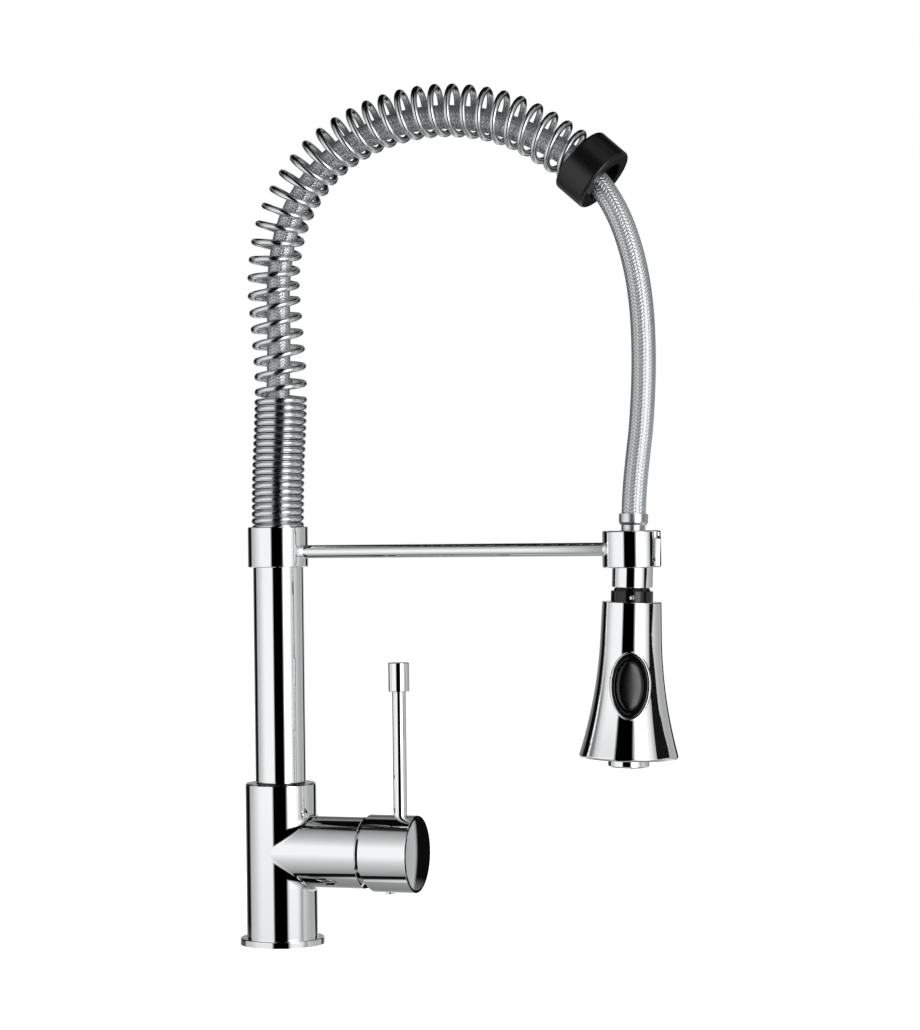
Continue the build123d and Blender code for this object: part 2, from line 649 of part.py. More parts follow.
moving_x = disc_x + disc_h
moving_disc = rod(moving_disc_d, moving_x, moving_x + disc_h, disc_shift)
moving_disc -= Pos(disc_shift + 1.0, 0, moving_x) * Box(*disc_pocket)
parts["moving_disc"] = arm_place * moving_disc
carrier_x = moving_x + disc_h
carrier_end_x = ball_x + 0.5
disc_carrier = rod(moving_disc_d, carrier_x, carrier_x + carrier_h, disc_shift)
disc_carrier += rod(carrier_boss_d, carrier_x, carrier_end_x)
disc_carrier -= rod(ball_d + 2 * loose, ball_x - ball_d / 2 - clear, carrier_end_x + 1)
parts["disc_carrier"] = arm_place * disc_carrier

cartridge_cap = rod(cartridge_d, cap_x, cartridge_end_x) + rod(cap_neck_d, cartridge_end_x, cap_neck_end_x)
cartridge_cap -= rod(spindle_d + 2 * running, cap_x - 1, cap_neck_end_x + 1)
parts["cartridge_cap"] = arm_place * cartridge_cap
parts["cartridge_nut"] = arm_place * ring(
    arm_bore_d - 2 * running, cap_neck_d + 2 * loose, cartridge_end_x, nut_end_x
)
cover = ring(body_d - 3.6, arm_bore_d - 3.0, nut_end_x, arm_end_x + handle_gap * 0.5)
cover &= rod(arm_bore_d - 2 * running, nut_end_x, arm_end_x + handle_gap)
parts["cover_ring"] = arm_place * cover

# Spindle carrier turns in the cap and holds the pin that the lever stem tilts on
spindle_low = carrier_end_x + clear
spindle = rod(spindle_d, spindle_low, cap_neck_end_x + 1)
stem_slot_w = stem_d + 2 * loose
spindle -= Pos(0, 0, (spindle_low + cap_neck_end_x) / 2) * Box(spindle_d - 3, stem_slot_w, 60)
pin_line = [(0, -spindle_d / 2 + 0.4, lever_pivot_x), (0, spindle_d / 2 - 0.4, lever_pivot_x)]
spindle -= bar_between(stem_pin_d, *pin_line)
parts["spindle_carrier"] = arm_place * spindle
parts["stem_pin"] = arm_place * bar_between(stem_pin_d, *pin_line)

# Lever: stem, handle cap, end disc, clamping screw and its plug, rod and knob
handle_x = arm_end_x + handle_gap
boss_x = cap_neck_end_x + 3.5
stem_end_x = handle_end_x - 6.0
stem_neck_d = stem_d - 2.0
stem = rod(stem_d, lever_pivot_x - 5, stem_end_x) + rod(stem_neck_d, ball_x, lever_pivot_x - 5)
stem += Pos(0, 0, ball_x) * Sphere(ball_d / 2)
stem -= bar_between(stem_pin_d + 2 * running, (0, -stem_d, lever_pivot_x), (0, stem_d, lever_pivot_x))
screw_seat = 1.0
stem -= Pos(stem_d, 0, handle_screw_x) * Box(stem_d + 2 * screw_seat, stem_d, handle_screw_d + 1)
parts["lever_stem"] = arm_place * stem

inner_end_x = handle_end_x - handle_disc_h - 2.4
handle = rod(handle_d, handle_x, handle_end_x)
handle = chamfer(handle.edges().group_by(Axis.Z)[-1], 0.3)
handle -= rod(handle_d - 2 * handle_wall, handle_x - 1, inner_end_x)
handle += rod(handle_boss_d, boss_x, inner_end_x + 1)
rod_boss_d = lever_rod_d + 4.0
handle += bar_between(rod_boss_d, (0, 0, lever_rod_x), (-handle_d / 2 + handle_wall, 0, lever_rod_x))
screw_boss_d = handle_screw_d + 5.0
handle += bar_between(screw_boss_d, (0, 0, handle_screw_x), (handle_d / 2 - handle_wall, 0, handle_screw_x))
handle -= rod(stem_d + 2 * running, 0, stem_end_x + 0.2)
handle -= rod(handle_d - 2 * handle_wall, handle_end_x - handle_disc_h, handle_end_x + 1)
bevel = Pos(handle_bevel_drop, 0, handle_x) * Rot(0, -handle_bevel_angle, 0) * Pos(handle_d / 2, 0, -handle_d / 2)
handle -= bevel * Box(2 * handle_d, 2 * handle_d, handle_d)
rod_low = arm_axis_z + stem_d / 2 + 1.0
handle -= bar_between(
    lever_rod_d + 2 * running, (arm_axis_z - rod_low, 0, lever_rod_x), (-handle_d, 0, lever_rod_x)
)
handle -= bar_between(
    handle_screw_d + 2 * running, (stem_d / 2 - screw_seat, 0, handle_screw_x), (handle_d, 0, handle_screw_x)
)
plug_depth = 4.0
plug_low = handle_d / 2 - plug_depth
handle -= bar_between(plug_d + 2 * running, (plug_low, 0, handle_screw_x), (handle_d, 0, handle_screw_x))
parts["handle_cap"] = arm_place * handle

end_disc = rod(handle_d - 2 * handle_wall - 2 * running, handle_end_x - handle_disc_h, handle_end_x)
dome_radius = ((handle_d / 2) ** 2 + handle_disc_dome**2) / (2 * handle_disc_dome)
end_disc += Pos(0, 0, handle_end_x + handle_disc_dome - dome_radius) * Sphere(dome_radius) & rod(
    handle_d - 2 * handle_wall - 2 * running, handle_end_x - 0.2, handle_end_x + handle_disc_dome
)
parts["handle_end_disc"] = arm_place * end_disc
screw_start = stem_d / 2 - screw_seat + running
screw_length = plug_low - screw_start - 2.0
parts["handle_screw"] = (
    arm_place * Pos(screw_start, 0, handle_screw_x) * Rot(0, 90, 0) * grub_screw(handle_screw_d, screw_length)
)
plug = fillet(rod(plug_d, 0, plug_depth + plug_stand).edges().group_by(Axis.Z)[-1], 0.5)
parts["screw_plug"] = arm_place * Pos(plug_low, 0, handle_screw_x) * Rot(0, 90, 0) * plug

knob_low = knob_top - knob_h
rod_high = knob_low + knob_h * 0.5
parts["lever_rod"] = rod(lever_rod_d, rod_low, rod_high, lever_rod_x)
knob = fillet(rod(knob_d, knob_low, knob_top).edges().filter_by(GeomType.CIRCLE), 0.7)
knob -= rod(lever_rod_d + 2 * running, knob_low - 1, rod_high + running)
parts["lever_knob"] = Pos(lever_rod_x, 0, 0) * knob

os.makedirs("parts", exist_ok=True)
for name, shape in parts.items():
    export_step(shape, f"parts/{name}.step")
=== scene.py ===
import math

import bmesh
import bpy
from bpy.props import FloatProperty, FloatVectorProperty, IntProperty, PointerProperty
from mathutils import Matrix, Vector


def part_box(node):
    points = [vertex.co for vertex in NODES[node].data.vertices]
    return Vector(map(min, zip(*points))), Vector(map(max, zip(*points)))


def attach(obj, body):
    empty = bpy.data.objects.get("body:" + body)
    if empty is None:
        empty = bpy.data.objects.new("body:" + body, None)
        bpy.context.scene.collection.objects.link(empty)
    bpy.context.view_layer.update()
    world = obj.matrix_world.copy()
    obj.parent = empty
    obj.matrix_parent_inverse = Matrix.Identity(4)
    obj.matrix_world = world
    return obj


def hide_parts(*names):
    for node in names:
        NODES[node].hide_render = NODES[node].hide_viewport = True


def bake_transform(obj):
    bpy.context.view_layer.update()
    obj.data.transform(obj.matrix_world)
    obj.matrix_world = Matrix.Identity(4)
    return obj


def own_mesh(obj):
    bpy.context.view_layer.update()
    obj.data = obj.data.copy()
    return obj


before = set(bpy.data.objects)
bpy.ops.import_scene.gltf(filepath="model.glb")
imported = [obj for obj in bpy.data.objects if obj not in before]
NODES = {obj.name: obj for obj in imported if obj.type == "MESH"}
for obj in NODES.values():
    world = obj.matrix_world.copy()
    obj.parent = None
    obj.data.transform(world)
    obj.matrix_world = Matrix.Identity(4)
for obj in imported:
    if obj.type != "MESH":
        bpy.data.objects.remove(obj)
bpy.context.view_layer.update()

bl_info = {
    "name": "Pull-out kitchen faucet",
    "version": (1, 0, 0),
    "blender": (4, 5, 0),
    "location": "3D View > Sidebar > Faucet",
    "description": "Gives a spring-arch kitchen faucet its hose, spring, metal finishes and studio",
    "category": "Object",
}

MM = 0.001

# Where the photograph was taken from: the camera's place in metres, its turn to the right and its roll
# in degrees, and its lens and picture width in millimetres
CAMERA_PLACE = (0.6975, -1.6858, 0.2585)
CAMERA_TURN = 19.0
CAMERA_ROLL = -0.7
CAMERA_LENS = 104.85
PICTURE_WIDTH = 36.0

# Middle lines in the plane of the arch, as (x, z) in metres, near the CAD's own routes
HOSE_ROUTE = [
    (0.0, 0.26975), (0.0, 0.303), (0.0014, 0.338), (0.0024, 0.371), (0.0018, 0.404), (0.0093, 0.4405),
    (0.031, 0.47), (0.0615, 0.4884), (0.0985, 0.4969), (0.136, 0.493), (0.1685, 0.4806), (0.196, 0.4634),
    (0.214, 0.4405), (0.2246, 0.4135), (0.2304, 0.383), (0.2316, 0.347), (0.2296, 0.311), (0.2266, 0.289),
    (0.22435, 0.268), (0.22377, 0.2516),
]
SPRING_ROUTE = [
    (0.0, 0.2507), (0.0004, 0.283), (0.0024, 0.312), (0.0034, 0.343), (0.0009, 0.374), (-0.0019, 0.406),
    (0.0058, 0.442), (0.0285, 0.4736), (0.0605, 0.4924), (0.099, 0.5008), (0.138, 0.4968),
    (0.169, 0.484), (0.1974, 0.4629),
]
# Points that Blender works out between two control points of each line, and flats round the hose
HOSE_STEPS = 14
SPRING_STEPS = 24
HOSE_SIDES = 40

CHROMED_BRASS = [
    "body_casting", "side_arm", "base_flange", "cover_ring", "riser_tube", "riser_collar", "dock_rod",
    "dock_clip", "neck_sleeve", "handle_cap", "handle_end_disc", "screw_plug", "lever_rod", "lever_knob",
    "aerator_housing", "riser_connector",
]
CHROMED_ABS = ["head_shell"]
MACHINED_BRASS = ["hose_connector", "lever_stem", "cartridge_nut"]
NICKEL_PLATED = ["hose_lower_fitting"]
STAINLESS = [
    "riser_lock_screw", "collar_screw", "handle_screw", "stem_pin", "hose_lower_ferrule", "swivel_clip",
    "collar_pin", "button_spring", "spring_seat",
]
BLACK_RUBBER = [
    "spring_end_ring", "base_gasket", "cartridge_seals", "riser_o_rings", "connector_o_rings",
    "dock_grip_ring", "neck_o_rings",
]
CRIMPED_STAINLESS = ["hose_ferrule", "hose_end_nipple"]
# The upper bush is black so that the joint under the riser shows as a dark line: painted shade
GLOSS_BLACK_AND_JOINT_SHADE = ["black_collar", "upper_bush"]
MATT_BLACK = ["spray_face"]
SILICONE = ["spray_nozzles"]
ACETAL = [
    "lower_bush", "cartridge_body", "cartridge_cap", "spindle_carrier", "disc_carrier",
    "head_core", "check_valve", "aerator_insert", "diverter_spool",
]
CERAMIC = ["fixed_disc", "moving_disc"]


def srgb(hex_colour):
    """Linear red, green and blue of an sRGB hex colour."""
    parts = [int(hex_colour[i:i + 2], 16) / 255 for i in (1, 3, 5)]
    return [c / 12.92 if c <= 0.04045 else ((c + 0.055) / 1.055) ** 2.4 for c in parts]


def add_node(tree, kind, settings=None, links=None):
    """A node with its properties, its input values, and the sockets linked to its inputs."""
    made = tree.nodes.new(kind)
    for name, value in (settings or {}).items():
        if isinstance(name, str) and hasattr(made, name):
            setattr(made, name, value)
        else:
            made.inputs[name].default_value = value
    for name, source in (links or {}).items():
        tree.links.new(source, made.inputs[name])
    return made


def new_material(name):
    """An empty node material and its tree."""
    made = bpy.data.materials.new(name)
    made.use_nodes = True
    made.node_tree.nodes.clear()
    return made, made.node_tree


def finish_material(tree, surface):
    """Sends a shader to the material's surface."""
    add_node(tree, "ShaderNodeOutputMaterial", links={"Surface": surface.outputs[0]})


def paint(material, nodes):
    """Puts one material on each of these CAD nodes."""
    for name in nodes:
        slots = NODES[name].material_slots
        for slot in slots:
            slot.material = material
        if not slots:
            NODES[name].data.materials.append(material)


def mesh_object(name, bm, material, smooth=True):
    """A finished object at the origin from a bmesh."""
    mesh = bpy.data.meshes.new(name)
    bm.to_mesh(mesh)
    bm.free()
    mesh.materials.append(material)
    if smooth:
        mesh.shade_smooth()
    made = bpy.data.objects.new(name, mesh)
    bpy.context.scene.collection.objects.link(made)
    return made


def evaluated_line(name, points, steps):
    """The line of an order-3 NURBS spline with these control points, as Blender evaluates it."""
    curve = bpy.data.curves.new(name, "CURVE")
    curve.dimensions = "3D"
    curve.resolution_u = steps
    spline = curve.splines.new("NURBS")
    spline.points.add(len(points) - 1)
    for point, (x, z) in zip(spline.points, points):
        point.co = (x, 0.0, z, 1.0)
    spline.order_u = 3
    spline.use_endpoint_u = True
    holder = bpy.data.objects.new(name, curve)
    bpy.context.scene.collection.objects.link(holder)
    bpy.context.view_layer.update()
    graph = bpy.context.evaluated_depsgraph_get()
    mesh = bpy.data.meshes.new_from_object(holder.evaluated_get(graph))
    line = [v.co.copy() for v in mesh.vertices]
    bpy.data.objects.remove(holder)
    bpy.data.curves.remove(curve)
    bpy.data.meshes.remove(mesh)
    return line


def lengths_along(line):
    """How far each point of a line is from its start."""
    lengths = [0.0]
    for a, b in zip(line, line[1:]):
        lengths.append(lengths[-1] + (b - a).length)
    return lengths


def frames_along(line):
    """A matrix at each point: Z runs along the line and Y stays square to the plane of the arch."""
    frames = []
    for i, point in enumerate(line):
        before, after = line[max(i - 1, 0)], line[min(i + 1, len(line) - 1)]
        along = (after - before).normalized()
        across = Vector((0, 1, 0))
        side = across.cross(along).normalized()
        turn = Matrix((side, across, along)).transposed().to_4x4()
        frames.append(Matrix.Translation(point) @ turn)
    return frames


def tube(line, diameter, around):
    """A bmesh tube along a line, with UVs: U is metres along it and V is turns round it."""
    bm = bmesh.new()
    u_layer = bm.verts.layers.float.new("along")
    v_layer = bm.verts.layers.float.new("round")
    frames, lengths = frames_along(line), lengths_along(line)
    bmesh.ops.create_circle(bm, segments=around, radius=diameter / 2)
    bmesh.ops.transform(bm, matrix=frames[0], verts=bm.verts)
    rim = list(bm.edges)
    rings = [list(bm.verts)]
    for before, after in zip(frames, frames[1:]):
        out = bmesh.ops.extrude_edge_only(bm, edges=rim)["geom"]
        rim = [g for g in out if isinstance(g, bmesh.types.BMEdge) and len(g.link_faces) == 1]
        fresh = [g for g in out if isinstance(g, bmesh.types.BMVert)]
        bmesh.ops.transform(bm, matrix=after @ before.inverted(), verts=fresh)
        rings.append(fresh)
    for frame_at, length, ring in zip(frames, lengths, rings):
        back = frame_at.inverted()
        for vert in ring:
            local = back @ vert.co
            vert[u_layer] = length
            vert[v_layer] = (math.atan2(local.y, local.x) / math.tau) % 1.0
    uv = bm.loops.layers.uv.new("UVMap")
    for face in bm.faces:
        turns = [loop.vert[v_layer] for loop in face.loops]
        wraps = max(turns) - min(turns) > 0.5
        for loop, turn in zip(face.loops, turns):
            loop[uv].uv = (loop.vert[u_layer], turn + 1.0 if wraps and turn < 0.5 else turn)
    bmesh.ops.recalc_face_normals(bm, faces=bm.faces)
    return bm


class FaucetSizes(bpy.types.PropertyGroup):
    """Sizes of the pieces that Blender makes."""
    hose_diameter: FloatProperty(
        name="Hose diameter", description="Outside of the braided hose", default=14.2 * MM, unit="LENGTH")
    wire_diameter: FloatProperty(
        name="Spring wire", description="Thickness of the spring's wire", default=4.0 * MM, unit="LENGTH")
    coil_diameter: FloatProperty(
        name="Spring diameter", description="Outside of the spring", default=32.0 * MM, unit="LENGTH")
    closed_turns: FloatProperty(
        name="Close turns", description="Turns wound close at the spring's foot", default=18.87)
    closed_pitch: FloatProperty(
        name="Close pitch", description="Height of one close turn", default=4.226 * MM, unit="LENGTH")
    open_pitch: FloatProperty(
        name="Open pitch", description="Length of one turn over the arch", default=9.95 * MM, unit="LENGTH")
    start_angle: FloatProperty(
        name="Spring start", description="Where the wire's lower end lies, round the riser",
        default=math.radians(110.0), subtype="ANGLE")
    coil_lean: FloatProperty(
        name="Coil lean", description="How far the open coils lean forward along the arch at their back",
        default=1.6 * MM, unit="LENGTH")
    casting_corner: FloatProperty(
        name="Casting corner", description="Radius where the side arm leaves the upright",
        default=2.4 * MM, unit="LENGTH")
    side_corner: FloatProperty(
        name="Side corner", description="Radius of the same corner at the upright's two sides",
        default=11.0 * MM, unit="LENGTH")
    turn_steps: IntProperty(
        name="Steps in a turn", description="Points of the wire's line in one turn", default=32, min=12)
    braid_column: FloatProperty(
        name="Braid columns", description="Columns of slanting strands round the hose", default=16.0)
    braid_pitch: FloatProperty(
        name="Braid pitch", description="Distance between strands along the hose",
        default=2.1 * MM, unit="LENGTH")


class FaucetColours(bpy.types.PropertyGroup):
    """Colours that a user may want to change."""
    chrome: FloatVectorProperty(
        name="Chrome", description="Mirror of the chrome plate", subtype="COLOR", size=3, min=0, max=1,
        default=srgb("#F3F4F5"))
    wire: FloatVectorProperty(
        name="Spring wire", description="Polished stainless wire", subtype="COLOR", size=3, min=0, max=1,
        default=srgb("#E2E5E6"))
    braid: FloatVectorProperty(
        name="Braid", description="Strands of the hose's braid", subtype="COLOR", size=3, min=0, max=1,
        default=srgb("#ECEFF1"))
    floor: FloatVectorProperty(
        name="Floor", description="Pale studio floor", subtype="COLOR", size=3, min=0, max=1,
        default=srgb("#F6F6F5"))


class FAUCET_OT_camera(bpy.types.Operator):
    """Puts the camera where the picture was taken from"""
    bl_idname = "faucet.camera"
    bl_label = "Camera"

    def execute(self, context):
        turn = math.radians(CAMERA_TURN)
        roll = math.radians(CAMERA_ROLL)
        right = Vector((math.cos(turn), math.sin(turn), 0))
        back = Vector((math.sin(turn), -math.cos(turn), 0))
        facing = Matrix((right, Vector((0, 0, 1)), back)).transposed().to_4x4()
        data = bpy.data.cameras.new("photo_camera")
        data.sensor_width = PICTURE_WIDTH
        data.lens = CAMERA_LENS
        camera = bpy.data.objects.new("photo_camera", data)
        camera.matrix_world = (
            Matrix.Translation(CAMERA_PLACE) @ facing @ Matrix.Rotation(roll, 4, "Z")
        )
        context.scene.collection.objects.link(camera)
        context.scene.camera = camera
        return {"FINISHED"}


def braid_material(sizes, colours):
    """Stainless braid under a thin clear sleeve: bright slanting strands, gaps darkened by painted shade,
    and a soft gloss.

    A strand stands for a ribbon of fine wires, which are too thin to show.
    """
    strand_slant = 0.9  # how many strands a slanting one climbs across its column
    end_bluntness = 0.45  # below 1, a strand stays high nearly to its ends
    strand_height = 0.2 * MM
    made, tree = new_material("braided_hose")
    uv = add_node(tree, "ShaderNodeUVMap", {"uv_map": "UVMap"})
    axes = add_node(tree, "ShaderNodeSeparateXYZ", links={0: uv.outputs[0]})
    column = add_node(
        tree, "ShaderNodeMath", {"operation": "MULTIPLY", 1: sizes.braid_column}, {0: axes.outputs[1]})
    across = add_node(tree, "ShaderNodeMath", {"operation": "FRACT"}, {0: column.outputs[0]})
    pair = add_node(tree, "ShaderNodeMath", {"operation": "PINGPONG", 1: 1.0}, {0: column.outputs[0]})
    slant = add_node(
        tree, "ShaderNodeMath", {"operation": "MULTIPLY", 1: strand_slant}, {0: pair.outputs[0]})
    rise = add_node(
        tree, "ShaderNodeMath", {"operation": "DIVIDE", 1: sizes.braid_pitch}, {0: axes.outputs[0]})
    phase = add_node(
        tree, "ShaderNodeMath", {"operation": "ADD"}, {0: rise.outputs[0], 1: slant.outputs[0]})
    part = add_node(tree, "ShaderNodeMath", {"operation": "FRACT"}, {0: phase.outputs[0]})
    half_wave = add_node(
        tree, "ShaderNodeMath", {"operation": "MULTIPLY", 1: math.pi}, {0: part.outputs[0]})
    strand = add_node(tree, "ShaderNodeMath", {"operation": "SINE"}, {0: half_wave.outputs[0]})
    edge_wave = add_node(
        tree, "ShaderNodeMath", {"operation": "MULTIPLY", 1: math.pi}, {0: across.outputs[0]})
    edge = add_node(tree, "ShaderNodeMath", {"operation": "SINE"}, {0: edge_wave.outputs[0]})
    edge_soft = add_node(
        tree, "ShaderNodeMath", {"operation": "POWER", 1: end_bluntness}, {0: edge.outputs[0]})
    height = add_node(
        tree, "ShaderNodeMath", {"operation": "MULTIPLY"}, {0: strand.outputs[0], 1: edge_soft.outputs[0]})
    # Painted shade: the braid's colour darkens where the strands run low, in the gaps between them and at
    # their ends
    painted_gap_shade = add_node(
        tree, "ShaderNodeMapRange", {"To Min": 0.5, "To Max": 1.0}, {"Value": height.outputs[0]})
    tint = add_node(
        tree, "ShaderNodeMix",
        {"data_type": "RGBA", "blend_type": "MULTIPLY", 0: 1.0, 6: (*colours.braid, 1)},
        {7: painted_gap_shade.outputs[0]})
    bump = add_node(
        tree, "ShaderNodeBump", {"Strength": 1.0, "Distance": strand_height}, {"Height": height.outputs[0]})
    surface = add_node(
        tree, "ShaderNodeBsdfPrincipled",
        {"Metallic": 0.9, "Roughness": 0.36, "IOR": 1.5, "Coat Weight": 0.35, "Coat Roughness": 0.15},
        {"Base Color": tint.outputs[2], "Normal": bump.outputs[0]})
    finish_material(tree, surface)
    return made


class FAUCET_OT_hose(bpy.types.Operator):
    """Makes the braided hose from the riser over the arch to the dock"""
    bl_idname = "faucet.hose"
    bl_label = "Hose"

    def execute(self, context):
        sizes, colours = context.scene.faucet_sizes, context.scene.faucet_colours
        line = evaluated_line("hose_line", HOSE_ROUTE, HOSE_STEPS)
        bm = tube(line, sizes.hose_diameter, HOSE_SIDES)
        hose = mesh_object("braided_hose", bm, braid_material(sizes, colours))
        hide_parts("hose")
        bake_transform(hose)
        return {"FINISHED"}


def wire_material(colours):
    """Cold-drawn stainless wire, polished: a near mirror with faint draw marks that soften it."""
    made, tree = new_material("polished_spring_wire")
    place = add_node(tree, "ShaderNodeTexCoord")
    grain = add_node(
        tree, "ShaderNodeTexNoise", {"Scale": 900.0, "Detail": 3.0, "Roughness": 0.6},
        {"Vector": place.outputs["Object"]})
    rough = add_node(
        tree, "ShaderNodeMapRange", {"To Min": 0.12, "To Max": 0.22}, {"Value": grain.outputs[0]})
    bump = add_node(
        tree, "ShaderNodeBump", {"Strength": 0.05, "Distance": 0.02 * MM}, {"Height": grain.outputs[0]})
    surface = add_node(
        tree, "ShaderNodeBsdfPrincipled", {"Base Color": (*colours.wire, 1), "Metallic": 1.0},
        {"Roughness": rough.outputs[0], "Normal": bump.outputs[0]})
    finish_material(tree, surface)
    return made


class FAUCET_OT_spring(bpy.types.Operator):
    """Winds the spring round the hose, close at the foot and open over the arch"""
    bl_idname = "faucet.spring"
    bl_label = "Spring"

    def execute(self, context):
        rise_turns = 3.0  # open turns until the coils lean in full
        lean_lost = 0.62  # share of the lean that is gone at the spring's end
        sizes, colours = context.scene.faucet_sizes, context.scene.faucet_colours
        line = evaluated_line("spring_line", SPRING_ROUTE, SPRING_STEPS)
        lengths, frames = lengths_along(line), frames_along(line)
        closed_length = sizes.closed_turns * sizes.closed_pitch
        turns = sizes.closed_turns + (lengths[-1] - closed_length) / sizes.open_pitch
        radius = (sizes.coil_diameter - sizes.wire_diameter) / 2
        count = round(turns * sizes.turn_steps)
        curve = bpy.data.curves.new("spring", "CURVE")
        curve.dimensions = "3D"
        curve.bevel_depth = sizes.wire_diameter / 2
        curve.bevel_resolution = 3
        curve.use_fill_caps = True
        spline = curve.splines.new("POLY")
        spline.points.add(count)
        step = 0
        for i, point in enumerate(spline.points):
            turn = turns * i / count
            open_turns = max(0.0, turn - sizes.closed_turns)
            far = min(turn, sizes.closed_turns) * sizes.closed_pitch + open_turns * sizes.open_pitch
            while step < len(line) - 2 and lengths[step + 1] < far:
                step += 1
            share = (far - lengths[step]) / (lengths[step + 1] - lengths[step])
            middle = frames[step].lerp(frames[step + 1], min(max(share, 0.0), 1.0))
            angle = sizes.start_angle + math.tau * turn
            lean = sizes.coil_lean * min(1.0, open_turns / rise_turns)
            lean *= 1.0 - lean_lost * far / lengths[-1]
            out = Vector((radius * math.cos(angle), radius * math.sin(angle), lean * math.sin(angle)))
            point.co = (*(middle @ out), 1.0)
        holder = bpy.data.objects.new("spring_wire_line", curve)
        context.scene.collection.objects.link(holder)
        context.view_layer.update()
        graph = context.evaluated_depsgraph_get()
        mesh = bpy.data.meshes.new_from_object(holder.evaluated_get(graph))
        bpy.data.objects.remove(holder)
        bpy.data.curves.remove(curve)
        mesh.materials.clear()
        mesh.materials.append(wire_material(colours))
        mesh.shade_smooth()
        spring = bpy.data.objects.new("arch_spring", mesh)
        context.scene.collection.objects.link(spring)
        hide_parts("spring")
        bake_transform(spring)
        return {"FINISHED"}


def chrome_material(name, colours, wave_mm, wave_height_mm, roughness):
    """Chrome plate: a mirror whose base was cast or moulded, so its reflections bend very slightly."""
    made, tree = new_material(name)
    place = add_node(tree, "ShaderNodeTexCoord")
    wave = add_node(
        tree, "ShaderNodeTexNoise", {"Scale": 1.0 / (wave_mm * MM), "Detail": 1.0, "Roughness": 0.4},
        {"Vector": place.outputs["Object"]})
    polish = add_node(
        tree, "ShaderNodeTexNoise", {"Scale": 1.0 / (2.0 * MM), "Detail": 4.0, "Roughness": 0.7},
        {"Vector": place.outputs["Object"]})
    rough = add_node(
        tree, "ShaderNodeMapRange", {"To Min": roughness * 0.6, "To Max": roughness * 1.5},
        {"Value": polish.outputs[0]})
    bump = add_node(
        tree, "ShaderNodeBump", {"Strength": 0.25, "Distance": wave_height_mm * MM},
        {"Height": wave.outputs[0]})
    surface = add_node(
        tree, "ShaderNodeBsdfPrincipled", {"Base Color": (*colours.chrome, 1), "Metallic": 1.0},
        {"Roughness": rough.outputs[0], "Normal": bump.outputs[0]})
    finish_material(tree, surface)
    return made


class FAUCET_OT_chrome(bpy.types.Operator):
    """Plates the brass and plastic parts with chrome"""
    bl_idname = "faucet.chrome"
    bl_label = "Chrome plate"

    def execute(self, context):
        colours = context.scene.faucet_colours
        paint(chrome_material("chrome_plate_on_brass", colours, 30.0, 0.05, 0.03), CHROMED_BRASS)
        paint(chrome_material("chrome_plate_on_abs", colours, 22.0, 0.06, 0.035), CHROMED_ABS)
        return {"FINISHED"}


def plain_material(name, hex_colour, metallic, roughness, ior, grain_mm, grain_height_mm, gloss=0.5):
    """A surface with a fine grain in its colour, gloss and height, sized in millimetres."""
    made, tree = new_material(name)
    place = add_node(tree, "ShaderNodeTexCoord")
    grain = add_node(
        tree, "ShaderNodeTexNoise", {"Scale": 1.0 / (grain_mm * MM), "Detail": 4.0, "Roughness": 0.6},
        {"Vector": place.outputs["Object"]})
    rough = add_node(
        tree, "ShaderNodeMapRange", {"To Min": roughness * 0.8, "To Max": roughness * 1.25},
        {"Value": grain.outputs[0]})
    dark = [c * 0.85 for c in srgb(hex_colour)]
    light = [min(1.0, c * 1.12) for c in srgb(hex_colour)]
    tint = add_node(
        tree, "ShaderNodeMix", {"data_type": "RGBA", 6: (*dark, 1), 7: (*light, 1)}, {0: grain.outputs[0]})
    bump = add_node(
        tree, "ShaderNodeBump", {"Strength": 0.4, "Distance": grain_height_mm * MM},
        {"Height": grain.outputs[0]})
    surface = add_node(
        tree, "ShaderNodeBsdfPrincipled", {"Metallic": metallic, "IOR": ior, "Specular IOR Level": gloss},
        {"Base Color": tint.outputs[2], "Roughness": rough.outputs[0], "Normal": bump.outputs[0]})
    finish_material(tree, surface)
    return made


